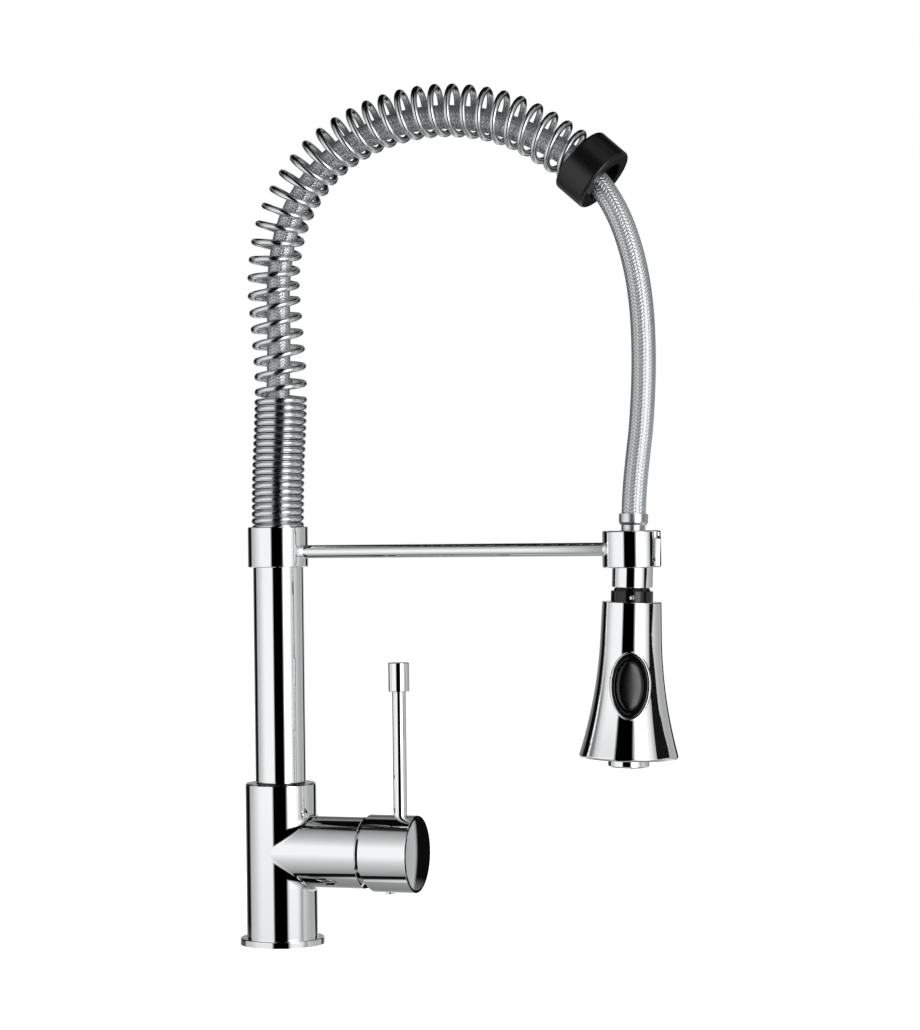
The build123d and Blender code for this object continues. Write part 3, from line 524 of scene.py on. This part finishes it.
class FAUCET_OT_other_finishes(bpy.types.Operator):
    """Gives the rubber, plastic, steel, brass and ceramic parts their finishes"""
    bl_idname = "faucet.other_finishes"
    bl_label = "Other finishes"

    def execute(self, context):
        # Moulded nitrile rubber: nearly black, with a soft sheen and a fine mould grain
        paint(plain_material("satin_black_rubber", "#070708", 0.0, 0.28, 1.5, 0.5, 0.02), BLACK_RUBBER)
        # Black ABS from a polished mould: deep black with sharp reflections; on the upper bush this black
        # is painted shade in the joint where the riser enters the body
        paint(plain_material("gloss_black_abs", "#060607", 0.0, 0.1, 1.5, 6.0, 0.004), GLOSS_BLACK_AND_JOINT_SHADE)
        # Black ABS from a fine-grained mould: a soft sheen, on the button that the thumb rubs
        plain_material("satin_black_abs", "#030304", 0.0, 0.2, 1.5, 3.0, 0.004, gloss=0.6)
        # Black acetal from a blasted mould: fine grain and a dull sheen
        paint(plain_material("matt_black_acetal", "#151515", 0.0, 0.4, 1.48, 0.35, 0.015), MATT_BLACK)
        # Moulded silicone: grey, soft and slightly dusty
        paint(plain_material("grey_silicone", "#8A8D90", 0.0, 0.5, 1.41, 0.4, 0.01), SILICONE)
        # Natural acetal: milky white with a waxy gloss
        paint(plain_material("natural_acetal", "#EDEBE4", 0.0, 0.35, 1.48, 0.6, 0.01), ACETAL)
        # Lapped alumina: ivory white and glassy
        paint(plain_material("lapped_alumina", "#EFEAE0", 0.0, 0.12, 1.77, 1.0, 0.004), CERAMIC)
        # Turned brass: warm metal with fine tool marks
        paint(plain_material("turned_brass", "#D9B56A", 1.0, 0.25, 1.5, 0.3, 0.01), MACHINED_BRASS)
        # Nickel plate on turned brass: warm grey metal with a soft mirror
        paint(plain_material("nickel_plated_brass", "#CFCBC2", 1.0, 0.2, 1.5, 0.5, 0.006), NICKEL_PLATED)
        # Rolled stainless tube, crimped on the hose: a satin surface that blurs what it mirrors
        paint(plain_material("satin_stainless", "#E6E8E9", 1.0, 0.3, 1.5, 0.4, 0.006), CRIMPED_STAINLESS)
        # Bright stainless steel: grey metal with a fine drawn grain
        paint(plain_material("bright_stainless", "#C9CBCC", 1.0, 0.2, 1.5, 0.3, 0.008), STAINLESS)
        return {"FINISHED"}


# Where the side arm meets the upright: both have this radius and cross at this height
BODY_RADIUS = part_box("side_arm")[1][1]
ARM_HEIGHT = (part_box("side_arm")[0][2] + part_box("side_arm")[1][2]) / 2

# The spray's own axes: its place in the dock, its lean, and the turn that faces the button forward
SPRAY_X = 0.2233
SPRAY_PLACE = (
    Matrix.Translation((SPRAY_X, 0.0, 0.2374)) @ Matrix.Rotation(math.radians(1.9), 4, "Y")
    @ Matrix.Rotation(math.radians(16.0), 4, "Z")
)
# The shell's outline on those axes, as (radius, height): straight to the waist, then one arc
TOP = (17.3 * MM, -30.6 * MM)
WAIST = (17.9 * MM, -50.0 * MM)
MIDDLE = (21.2 * MM, -85.6 * MM)
RIM = (29.5 * MM, -121.8 * MM)
BUTTON_HEIGHT = -78.5 * MM
SCREW_HEIGHT = -28.0 * MM
# Points nearer than this are one
MERGE = 1e-6


class FAUCET_OT_casting(bpy.types.Operator):
    """Rounds the inner corner where the side arm grows out of the upright"""
    bl_idname = "faucet.casting"
    bl_label = "Casting corner"

    def execute(self, context):
        around, count = 9, 72  # points on the corner's arc, and steps from one side to the other
        sunk_share = 0.98  # how near the surface the hidden edge lies, inside both tubes
        sizes = context.scene.faucet_sizes
        bm = bmesh.new()
        bmesh.ops.create_circle(bm, segments=around + 1, radius=sizes.casting_corner)
        rim, rings = list(bm.edges), [list(bm.verts)]
        for _ in range(count):
            out = bmesh.ops.extrude_edge_only(bm, edges=rim)["geom"]
            rim = [g for g in out if isinstance(g, bmesh.types.BMEdge) and len(g.link_faces) == 1]
            rings.append([g for g in out if isinstance(g, bmesh.types.BMVert)])
        for i, ring in enumerate(rings):
            toward_side = math.cos(math.pi * i / count)
            ball = sizes.casting_corner + (sizes.side_corner - sizes.casting_corner) * abs(toward_side) ** 3
            reach = BODY_RADIUS + ball
            across = -reach * toward_side
            out = math.sqrt(max(reach ** 2 - across ** 2, 0.0))
            middle = Vector((out, across, out))
            to_upright = Vector((-out, -across, 0.0)).normalized()
            to_arm = Vector((0.0, -across, -out)).normalized()
            for k, vert in enumerate(ring[:around]):
                share = k / (around - 1)
                toward = to_upright.lerp(to_arm, share).normalized() if out > 0 else to_upright
                vert.co = middle + toward * ball
            ring[around].co = middle * BODY_RADIUS / reach * sunk_share
        bmesh.ops.remove_doubles(bm, verts=bm.verts, dist=0.01 * MM)
        bmesh.ops.recalc_face_normals(bm, faces=bm.faces)
        copy = bmesh.ops.duplicate(bm, geom=bm.verts[:] + bm.edges[:] + bm.faces[:])["geom"]
        below = [g for g in copy if isinstance(g, bmesh.types.BMVert)]
        bmesh.ops.scale(bm, vec=(1, 1, -1), verts=below)
        bmesh.ops.reverse_faces(bm, faces=[g for g in copy if isinstance(g, bmesh.types.BMFace)])
        bmesh.ops.translate(bm, verts=bm.verts, vec=(0, 0, ARM_HEIGHT))
        corner = mesh_object("casting_corner", bm, bpy.data.materials["chrome_plate_on_brass"])
        corner.data.set_sharp_from_angle(angle=math.radians(35.0))
        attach(corner, "mixer_body")
        return {"FINISHED"}


def shell_radius(height):
    """Radius of the flared shell at a height on the spray's own axis."""
    if height > WAIST[1]:
        share = (height - WAIST[1]) / (TOP[1] - WAIST[1])
        return WAIST[0] + share * (TOP[0] - WAIST[0])
    (x1, y1), (x2, y2), (x3, y3) = WAIST, MIDDLE, RIM
    twice = 2 * (x1 * (y2 - y3) + x2 * (y3 - y1) + x3 * (y1 - y2))
    s1, s2, s3 = x1 * x1 + y1 * y1, x2 * x2 + y2 * y2, x3 * x3 + y3 * y3
    centre_x = (s1 * (y2 - y3) + s2 * (y3 - y1) + s3 * (y1 - y2)) / twice
    centre_y = (s1 * (x3 - x2) + s2 * (x1 - x3) + s3 * (x2 - x1)) / twice
    radius = math.hypot(x1 - centre_x, y1 - centre_y)
    return centre_x - math.sqrt(radius ** 2 - (height - centre_y) ** 2)


def oval_on_shell(name, profile, outer, inner, material, close, flat=0.0, aside=0.0):
    """An oval piece on the spray's front: a profile of (share outward, height off the shell) spun round.

    It can be flatter than the shell and face a little aside.
    """
    base = 1.0 if inner[0] > 0 else 0.0
    bm = bmesh.new()
    verts = [bm.verts.new((base + share, 0, stand)) for share, stand in profile]
    edges = [bm.edges.new(pair) for pair in zip(verts, verts[1:])]
    if close:
        edges.append(bm.edges.new((verts[-1], verts[0])))
    bmesh.ops.spin(
        bm, geom=verts + edges, cent=(0, 0, 0), axis=(0, 0, 1), angle=math.tau, steps=96, use_merge=True)
    bmesh.ops.remove_doubles(bm, verts=bm.verts, dist=MERGE)
    bmesh.ops.recalc_face_normals(bm, faces=bm.faces)
    for vert in bm.verts:
        far = math.hypot(vert.co.x, vert.co.y)
        turn = math.atan2(vert.co.y, vert.co.x)
        half_w = inner[0] + (far - base) * (outer[0] - inner[0])
        half_h = inner[1] + (far - base) * (outer[1] - inner[1])
        sideways = half_w * math.cos(turn)
        height = BUTTON_HEIGHT + half_h * math.sin(turn)
        radius = shell_radius(height) + vert.co.z
        forward = math.sqrt(radius ** 2 - sideways ** 2)
        forward += flat * (radius - forward) - aside * sideways
        vert.co = SPRAY_PLACE @ Vector((sideways, -forward, height))
    bmesh.ops.recalc_face_normals(bm, faces=bm.faces)
    return mesh_object(name, bm, material)


def half_round(low, high, steps):
    """A closed profile: flat sides and a round top, a little fuller than a half circle."""
    points = [(0.0, low)]
    for i in range(steps + 1):
        turn = math.pi * i / steps
        points.append((0.5 - 0.5 * math.cos(turn), high * math.sin(turn) ** 0.8))
    points.append((1.0, low))
    return points


class FAUCET_OT_button(bpy.types.Operator):
    """Makes the oval button with its rims and its spring, and the little screw above it"""
    bl_idname = "faucet.button"
    bl_label = "Spray button"

    def rims(self):
        """The bright oval rim and the black dish that the button sits in."""
        rim = oval_on_shell(
            "button_rim", half_round(-1.5 * MM, 1.3 * MM, 10), (12.1 * MM, 19.8 * MM),
            (10.7 * MM, 18.4 * MM), bpy.data.materials["chrome_plate_on_abs"], close=True)
        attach(rim, "spray_head")
        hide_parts("button_bezel")
        dish = [
            (0.0, -3.0), (0.0, -1.2), (0.06, -0.9), (0.5, -0.1), (0.9, 0.45), (1.0, 0.3), (1.0, -3.0),
        ]
        surround = oval_on_shell(
            "button_surround", [(share, stand * MM) for share, stand in dish], (10.65 * MM, 18.35 * MM),
            (8.1 * MM, 14.7 * MM), bpy.data.materials["gloss_black_abs"], close=True)
        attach(surround, "spray_head")
        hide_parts("button_frame")

    def pad(self):
        """The button itself: a low dome, nearly flat from side to side."""
        dome = [
            (0.0, 1.5), (0.25, 1.48), (0.5, 1.4), (0.72, 1.22), (0.86, 0.92), (0.94, 0.5), (0.985, -0.1),
            (1.0, -0.4), (1.0, -2.5), (0.0, -2.5),
        ]
        pad = oval_on_shell(
            "button_pad", [(share, stand * MM) for share, stand in dome], (7.9 * MM, 14.5 * MM), (0, 0),
            bpy.data.materials["satin_black_abs"], close=False, flat=0.85, aside=0.11)
        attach(pad, "spray_button")
        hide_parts("spray_button")

    def collar_screw(self):
        """The little screw in the collar: a rounded rim round a dished middle."""
        # Millimetres from the screw's own axis, and out from the spray's axis
        face = [
            (0.0, 12.2), (0.7, 12.2), (0.85, 12.6), (1.1, 12.85), (1.35, 12.8), (1.55, 12.45), (1.6, 12.0),
            (1.6, 9.6), (0.0, 9.6),
        ]
        bm = bmesh.new()
        verts = [bm.verts.new((across * MM, -out * MM, 0)) for across, out in face]
        edges = [bm.edges.new(pair) for pair in zip(verts, verts[1:])]
        bmesh.ops.spin(
            bm, geom=verts + edges, cent=(0, 0, 0), axis=(0, 1, 0), angle=math.tau, steps=32,
            use_merge=True)
        bmesh.ops.remove_doubles(bm, verts=bm.verts, dist=MERGE)
        bmesh.ops.translate(bm, verts=bm.verts, vec=(0, 0, SCREW_HEIGHT))
        bmesh.ops.transform(bm, matrix=SPRAY_PLACE, verts=bm.verts)
        bmesh.ops.recalc_face_normals(bm, faces=bm.faces)
        pin = mesh_object("collar_pin_face", bm, bpy.data.materials["bright_stainless"])
        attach(pin, "spray_head")
        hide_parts("collar_pin")

    def return_spring(self):
        """The spring behind the button."""
        turns, steps = 4, 96
        wire_radius, coil_radius, rise = 0.3 * MM, 2.7 * MM, 4.38 * MM
        bm = bmesh.new()
        section = bmesh.ops.create_circle(bm, segments=8, radius=wire_radius)["verts"]
        bmesh.ops.translate(bm, verts=section, vec=(coil_radius, 0, 0))
        bmesh.ops.spin(
            bm, geom=section + list(bm.edges), cent=(0, 0, 0), axis=(0, 1, 0), angle=turns * math.tau,
            steps=steps, dvec=(0, rise / steps, 0), use_merge=False)
        bmesh.ops.holes_fill(bm, edges=[edge for edge in bm.edges if edge.is_boundary], sides=8)
        bmesh.ops.translate(bm, verts=bm.verts, vec=(0, 6.36 * MM, BUTTON_HEIGHT))
        bmesh.ops.transform(bm, matrix=SPRAY_PLACE, verts=bm.verts)
        bmesh.ops.recalc_face_normals(bm, faces=bm.faces)
        coil = mesh_object("button_return_spring", bm, bpy.data.materials["bright_stainless"])
        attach(coil, "spray_button")
        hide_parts("button_spring")
        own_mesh(coil)

    def execute(self, context):
        self.rims()
        self.pad()
        self.collar_screw()
        self.return_spring()
        return {"FINISHED"}


# The studio's wall is a ball round the faucet
WALL_CENTRE = (0.0, 0.0, 0.25)
WALL_RADIUS = 0.95
# What metal sees on it: degrees to the right of the camera's direction, and brightness
WALL_ROUND = [
    (-180, 0.35), (-165, 0.25), (-150, 0.15), (-142, 0.004), (-122, 0.004), (-114, 0.5), (-98, 0.6),
    (-85, 0.78), (-70, 0.97), (-60, 1.0), (-27, 1.0), (-21, 0.0), (18, 0.0), (24, 0.9), (30, 1.06),
    (50, 1.06), (58, 0.92), (66, 0.5), (71, 0.4), (76, 0.68), (84, 0.66), (95, 0.5), (108, 0.42),
    (121, 0.42), (131.6, 0.5), (133, 0.004), (151, 0.004), (156, 0.45), (164, 0.7), (172, 0.6),
    (180, 0.35),
]
# How that fades with height above the horizon, in degrees, in front of the object and behind it
WALL_FRONT = [
    (-90, 0.45), (-84, 0.7), (-76, 0.85), (-72, 0.004), (-66, 0.004), (-64, 0.3), (-46, 0.52),
    (-37, 0.62), (-28, 0.77), (-22, 0.89), (-15, 1.0), (10, 1.0), (19, 0.83), (28, 0.67), (37, 0.55),
    (46, 0.46), (63, 0.29), (66, 0.03), (90, 0.0),
]
WALL_BACK = [
    (-90, 0.45), (-75, 0.3), (-60, 0.25), (-45, 0.35), (-34, 1.0), (0, 1.0), (6, 0.46), (19, 0.31),
    (38, 0.27), (43, 0.004), (90, 0.0),
]
# Degrees from the camera's direction over which the front passes into the back, and degrees of height over
# which the bands behind the object pass into plain cloth
TO_BEHIND = (88.0, 100.0)
TO_PLAIN = (22.0, 34.0)
# The softbox on the wall: the degrees of its middle to the right and upward, the degrees from there to
# where its edge starts and ends, sideways and in height, and how much brighter it is
SOFTBOX_TURN = 38.0
SOFTBOX_RISE = 5.0
SOFTBOX_WIDE = (10.0, 14.0)
SOFTBOX_HIGH = (18.0, 25.0)
SOFTBOX_POWER = 3.3
# The black card by the spray: metres from the spray's axis, degrees of its upright left edge, and the
# longest way in metres from which it shows
FLAG_AWAY = 0.7
FLAG_LEFT = 86.0
FLAG_REACH = 0.76
# The floor: metres from its middle to its edge, and how much brighter the camera sees it
FLOOR_REACH = 4.0
FLOOR_LIFT = 0.55
# Soft light from all round, and the lamps: name, place, size in metres, watts, and where they point
WORLD_LIGHT = 0.5
LAMPS = (
    ("key_softbox", (1.5, -0.5, 0.9), 0.8, 32.0),
    ("fill_softbox", (-0.9, -1.5, 1.5), 1.2, 6.0),
)
LAMP_AIM = (0.1, 0.0, 0.25)


def ramp(tree, stops, low, high, source):
    """A colour ramp over a range of degrees."""
    share = add_node(
        tree, "ShaderNodeMapRange", {"From Min": low, "From Max": high}, {"Value": source})
    made = add_node(tree, "ShaderNodeValToRGB", links={0: share.outputs[0]})
    points = made.color_ramp.elements
    while len(points) < len(stops):
        points.new(1.0)
    for point, (angle, level) in zip(points, stops):
        point.position = (angle - low) / (high - low)
        point.color = (level, level, level, 1)
    return made


def wall_material():
    """A photographer's tent: lit cloth with black flags and a softbox, which only reflections show."""
    made, tree = new_material("studio_tent")
    place = add_node(tree, "ShaderNodeTexCoord")
    centre = add_node(
        tree, "ShaderNodeVectorMath", {"operation": "SUBTRACT", 1: WALL_CENTRE},
        {0: place.outputs["Object"]})
    unit = add_node(tree, "ShaderNodeVectorMath", {"operation": "NORMALIZE"}, {0: centre.outputs[0]})
    axes = add_node(tree, "ShaderNodeSeparateXYZ", links={0: unit.outputs[0]})
    front = add_node(tree, "ShaderNodeMath", {"operation": "MULTIPLY", 1: -1.0}, {0: axes.outputs[1]})
    angle = add_node(
        tree, "ShaderNodeMath", {"operation": "ARCTAN2"}, {0: axes.outputs[0], 1: front.outputs[0]})
    degrees = add_node(tree, "ShaderNodeMath", {"operation": "DEGREES"}, {0: angle.outputs[0]})
    turned = add_node(
        tree, "ShaderNodeMath", {"operation": "SUBTRACT", 1: CAMERA_TURN}, {0: degrees.outputs[0]})
    wrapped = add_node(
        tree, "ShaderNodeMath", {"operation": "WRAP", 1: 180.0, 2: -180.0}, {0: turned.outputs[0]})
    rise = add_node(tree, "ShaderNodeMath", {"operation": "ARCSINE"}, {0: axes.outputs[2]})
    rise_degrees = add_node(tree, "ShaderNodeMath", {"operation": "DEGREES"}, {0: rise.outputs[0]})
    sideways = ramp(tree, WALL_ROUND, -180, 180, wrapped.outputs[0])
    upward = ramp(tree, WALL_FRONT, -90, 90, rise_degrees.outputs[0])
    upward_behind = ramp(tree, WALL_BACK, -90, 90, rise_degrees.outputs[0])
    turn_size = add_node(tree, "ShaderNodeMath", {"operation": "ABSOLUTE"}, {0: wrapped.outputs[0]})
    behind = add_node(
        tree, "ShaderNodeMapRange", {"From Min": TO_BEHIND[0], "From Max": TO_BEHIND[1]},
        {"Value": turn_size.outputs[0]})
    fade = add_node(
        tree, "ShaderNodeMix", {"data_type": "RGBA"},
        {0: behind.outputs[0], 6: upward.outputs[0], 7: upward_behind.outputs[0]})
    # Behind the object the bands stay near the horizon
    slope = add_node(tree, "ShaderNodeMath", {"operation": "ABSOLUTE"}, {0: rise_degrees.outputs[0]})
    is_steep = add_node(
        tree, "ShaderNodeMapRange", {"From Min": TO_PLAIN[0], "From Max": TO_PLAIN[1]},
        {"Value": slope.outputs[0]})
    plain = add_node(
        tree, "ShaderNodeMath", {"operation": "MULTIPLY"}, {0: is_steep.outputs[0], 1: behind.outputs[0]})
    bands = add_node(
        tree, "ShaderNodeMix", {"data_type": "RGBA", 7: (0.95, 0.95, 0.95, 1)},
        {0: plain.outputs[0], 6: sideways.outputs[0]})
    level = add_node(
        tree, "ShaderNodeMix", {"data_type": "RGBA", "blend_type": "MULTIPLY", 0: 1.0},
        {6: bands.outputs[2], 7: fade.outputs[2]})
    # The softbox is far brighter than the cloth, which only satin and black surfaces show
    off_axis = add_node(
        tree, "ShaderNodeMath", {"operation": "SUBTRACT", 1: SOFTBOX_TURN}, {0: wrapped.outputs[0]})
    off_size = add_node(tree, "ShaderNodeMath", {"operation": "ABSOLUTE"}, {0: off_axis.outputs[0]})
    in_width = add_node(
        tree, "ShaderNodeMapRange", {"From Min": SOFTBOX_WIDE[1], "From Max": SOFTBOX_WIDE[0]},
        {"Value": off_size.outputs[0]})
    off_level = add_node(
        tree, "ShaderNodeMath", {"operation": "SUBTRACT", 1: SOFTBOX_RISE}, {0: rise_degrees.outputs[0]})
    off_height = add_node(tree, "ShaderNodeMath", {"operation": "ABSOLUTE"}, {0: off_level.outputs[0]})
    in_height = add_node(
        tree, "ShaderNodeMapRange", {"From Min": SOFTBOX_HIGH[1], "From Max": SOFTBOX_HIGH[0]},
        {"Value": off_height.outputs[0]})
    in_box = add_node(
        tree, "ShaderNodeMath", {"operation": "MULTIPLY"},
        {0: in_width.outputs[0], 1: in_height.outputs[0]})
    power = add_node(
        tree, "ShaderNodeMapRange", {"To Min": 1.0, "To Max": SOFTBOX_POWER}, {"Value": in_box.outputs[0]})
    glow = add_node(
        tree, "ShaderNodeEmission", links={"Color": level.outputs[2], "Strength": power.outputs[0]})
    finish_material(tree, glow)
    return made


def show_in_reflections_only(thing):
    """Hides a studio piece from all but glossy rays."""
    thing.visible_camera = False
    thing.visible_diffuse = False
    thing.visible_transmission = False
    thing.visible_volume_scatter = False
    thing.visible_shadow = False


class FAUCET_OT_stage(bpy.types.Operator):
    """Lays the pale floor, hangs the lamps and sets the studio that metal reflects"""
    bl_idname = "faucet.stage"
    bl_label = "Studio"

    def black_flag(self):
        """A black card that curves round the spray's right side, near enough for the spray to mirror it."""
        # The degrees of its right edge at each height
        edge = (
            (0.05, 99), (0.165, 99), (0.181, 106), (0.208, 112), (0.235, 115), (0.242, 120), (0.252, 127),
            (0.3, 150), (0.6, 150),
        )
        bm = bmesh.new()
        bmesh.ops.create_grid(bm, x_segments=24, y_segments=len(edge) - 1, size=0.5)
        for vert in bm.verts:
            height, right = edge[round((vert.co.y + 0.5) * (len(edge) - 1))]
            turn = math.radians(FLAG_LEFT + (right - FLAG_LEFT) * (vert.co.x + 0.5))
            vert.co = (SPRAY_X + FLAG_AWAY * math.sin(turn), -FLAG_AWAY * math.cos(turn), height)
        made, tree = new_material("black_flag")
        rays = add_node(tree, "ShaderNodeLightPath")
        far = add_node(
            tree, "ShaderNodeMath", {"operation": "GREATER_THAN", 1: FLAG_REACH},
            {0: rays.outputs["Ray Length"]})
        black = add_node(tree, "ShaderNodeBsdfDiffuse", {"Color": (0.01, 0.01, 0.01, 1)})
        open_air = add_node(tree, "ShaderNodeBsdfTransparent")
        both = add_node(
            tree, "ShaderNodeMixShader",
            links={0: far.outputs[0], 1: black.outputs[0], 2: open_air.outputs[0]})
        finish_material(tree, both)
        flag = mesh_object("black_flag", bm, made)
        show_in_reflections_only(flag)
        return flag

    def floor(self, colour):
        """A matt floor that the camera sees as nearly white."""
        bm = bmesh.new()
        bmesh.ops.create_grid(bm, x_segments=1, y_segments=1, size=FLOOR_REACH)
        material, tree = new_material("matt_studio_floor")
        matt = add_node(
            tree, "ShaderNodeBsdfPrincipled",
            {"Base Color": (*colour, 1), "Roughness": 0.9, "Specular IOR Level": 0.1})
        rays = add_node(tree, "ShaderNodeLightPath")
        lift = add_node(
            tree, "ShaderNodeMath", {"operation": "MULTIPLY", 1: FLOOR_LIFT},
            {0: rays.outputs["Is Camera Ray"]})
        white = add_node(
            tree, "ShaderNodeEmission", {"Color": (1, 1, 1, 1)}, {"Strength": lift.outputs[0]})
        both = add_node(tree, "ShaderNodeAddShader", links={0: matt.outputs[0], 1: white.outputs[0]})
        finish_material(tree, both)
        floor = mesh_object("studio_floor", bm, material, smooth=False)
        floor.visible_glossy = False
        return floor

    def tent(self):
        """The studio's wall all round the faucet."""
        bm = bmesh.new()
        bmesh.ops.create_uvsphere(bm, u_segments=64, v_segments=32, radius=WALL_RADIUS)
        bmesh.ops.translate(bm, verts=bm.verts, vec=WALL_CENTRE)
        tent = mesh_object("studio_tent", bm, wall_material())
        show_in_reflections_only(tent)
        return tent

    def world(self):
        """A white backdrop that gives soft light from all round."""
        world = bpy.data.worlds.new("studio")
        world.use_nodes = True
        tree = world.node_tree
        tree.nodes.clear()
        seen = add_node(tree, "ShaderNodeBackground", {"Color": (1, 1, 1, 1), "Strength": 1.0})
        soft = add_node(
            tree, "ShaderNodeBackground", {"Color": (1, 1, 1, 1), "Strength": WORLD_LIGHT})
        rays = add_node(tree, "ShaderNodeLightPath")
        open_rays = add_node(
            tree, "ShaderNodeMath", {"operation": "MAXIMUM"},
            {0: rays.outputs["Is Camera Ray"], 1: rays.outputs["Is Transmission Ray"]})
        background = add_node(
            tree, "ShaderNodeMixShader",
            links={0: open_rays.outputs[0], 1: soft.outputs[0], 2: seen.outputs[0]})
        add_node(tree, "ShaderNodeOutputWorld", links={"Surface": background.outputs[0]})
        return world

    def execute(self, context):
        floor = self.floor(context.scene.faucet_colours.floor)
        tent = self.tent()
        flag = self.black_flag()
        context.scene.world = self.world()
        for name, place_at, size, power in LAMPS:
            data = bpy.data.lights.new(name, "AREA")
            data.size = size
            data.energy = power
            lamp = bpy.data.objects.new(name, data)
            aim = Vector(LAMP_AIM) - Vector(place_at)
            lamp.matrix_world = (
                Matrix.Translation(place_at) @ aim.to_track_quat("-Z", "Y").to_matrix().to_4x4()
            )
            lamp.visible_glossy = False
            context.scene.collection.objects.link(lamp)
        context.scene.view_settings.view_transform = "Standard"
        return {"FINISHED"}


class FAUCET_PT_panel(bpy.types.Panel):
    """Lists the faucet's sizes, colours and steps"""
    bl_idname = "FAUCET_PT_panel"
    bl_label = "Kitchen faucet"
    bl_space_type = "VIEW_3D"
    bl_region_type = "UI"
    bl_category = "Faucet"

    def draw(self, context):
        for group in (context.scene.faucet_sizes, context.scene.faucet_colours):
            for name in group.bl_rna.properties.keys():
                if name not in ("rna_type", "name"):
                    self.layout.prop(group, name)
        for step in STEPS:
            self.layout.operator(step.bl_idname)


STEPS = (
    FAUCET_OT_camera,
    FAUCET_OT_hose,
    FAUCET_OT_spring,
    FAUCET_OT_chrome,
    FAUCET_OT_other_finishes,
    FAUCET_OT_casting,
    FAUCET_OT_button,
    FAUCET_OT_stage,
)
CLASSES = (FaucetSizes, FaucetColours, *STEPS, FAUCET_PT_panel)


def register():
    for each in CLASSES:
        bpy.utils.register_class(each)
    bpy.types.Scene.faucet_sizes = PointerProperty(type=FaucetSizes)
    bpy.types.Scene.faucet_colours = PointerProperty(type=FaucetColours)


def unregister():
    del bpy.types.Scene.faucet_colours
    del bpy.types.Scene.faucet_sizes
    for each in reversed(CLASSES):
        bpy.utils.unregister_class(each)


def main():
    register()
    bpy.ops.faucet.camera()
    bpy.ops.faucet.hose()
    bpy.ops.faucet.spring()
    bpy.ops.faucet.chrome()
    bpy.ops.faucet.other_finishes()
    bpy.ops.faucet.casting()
    bpy.ops.faucet.button()
    bpy.ops.faucet.stage()


if __name__ == "__main__":
    main()
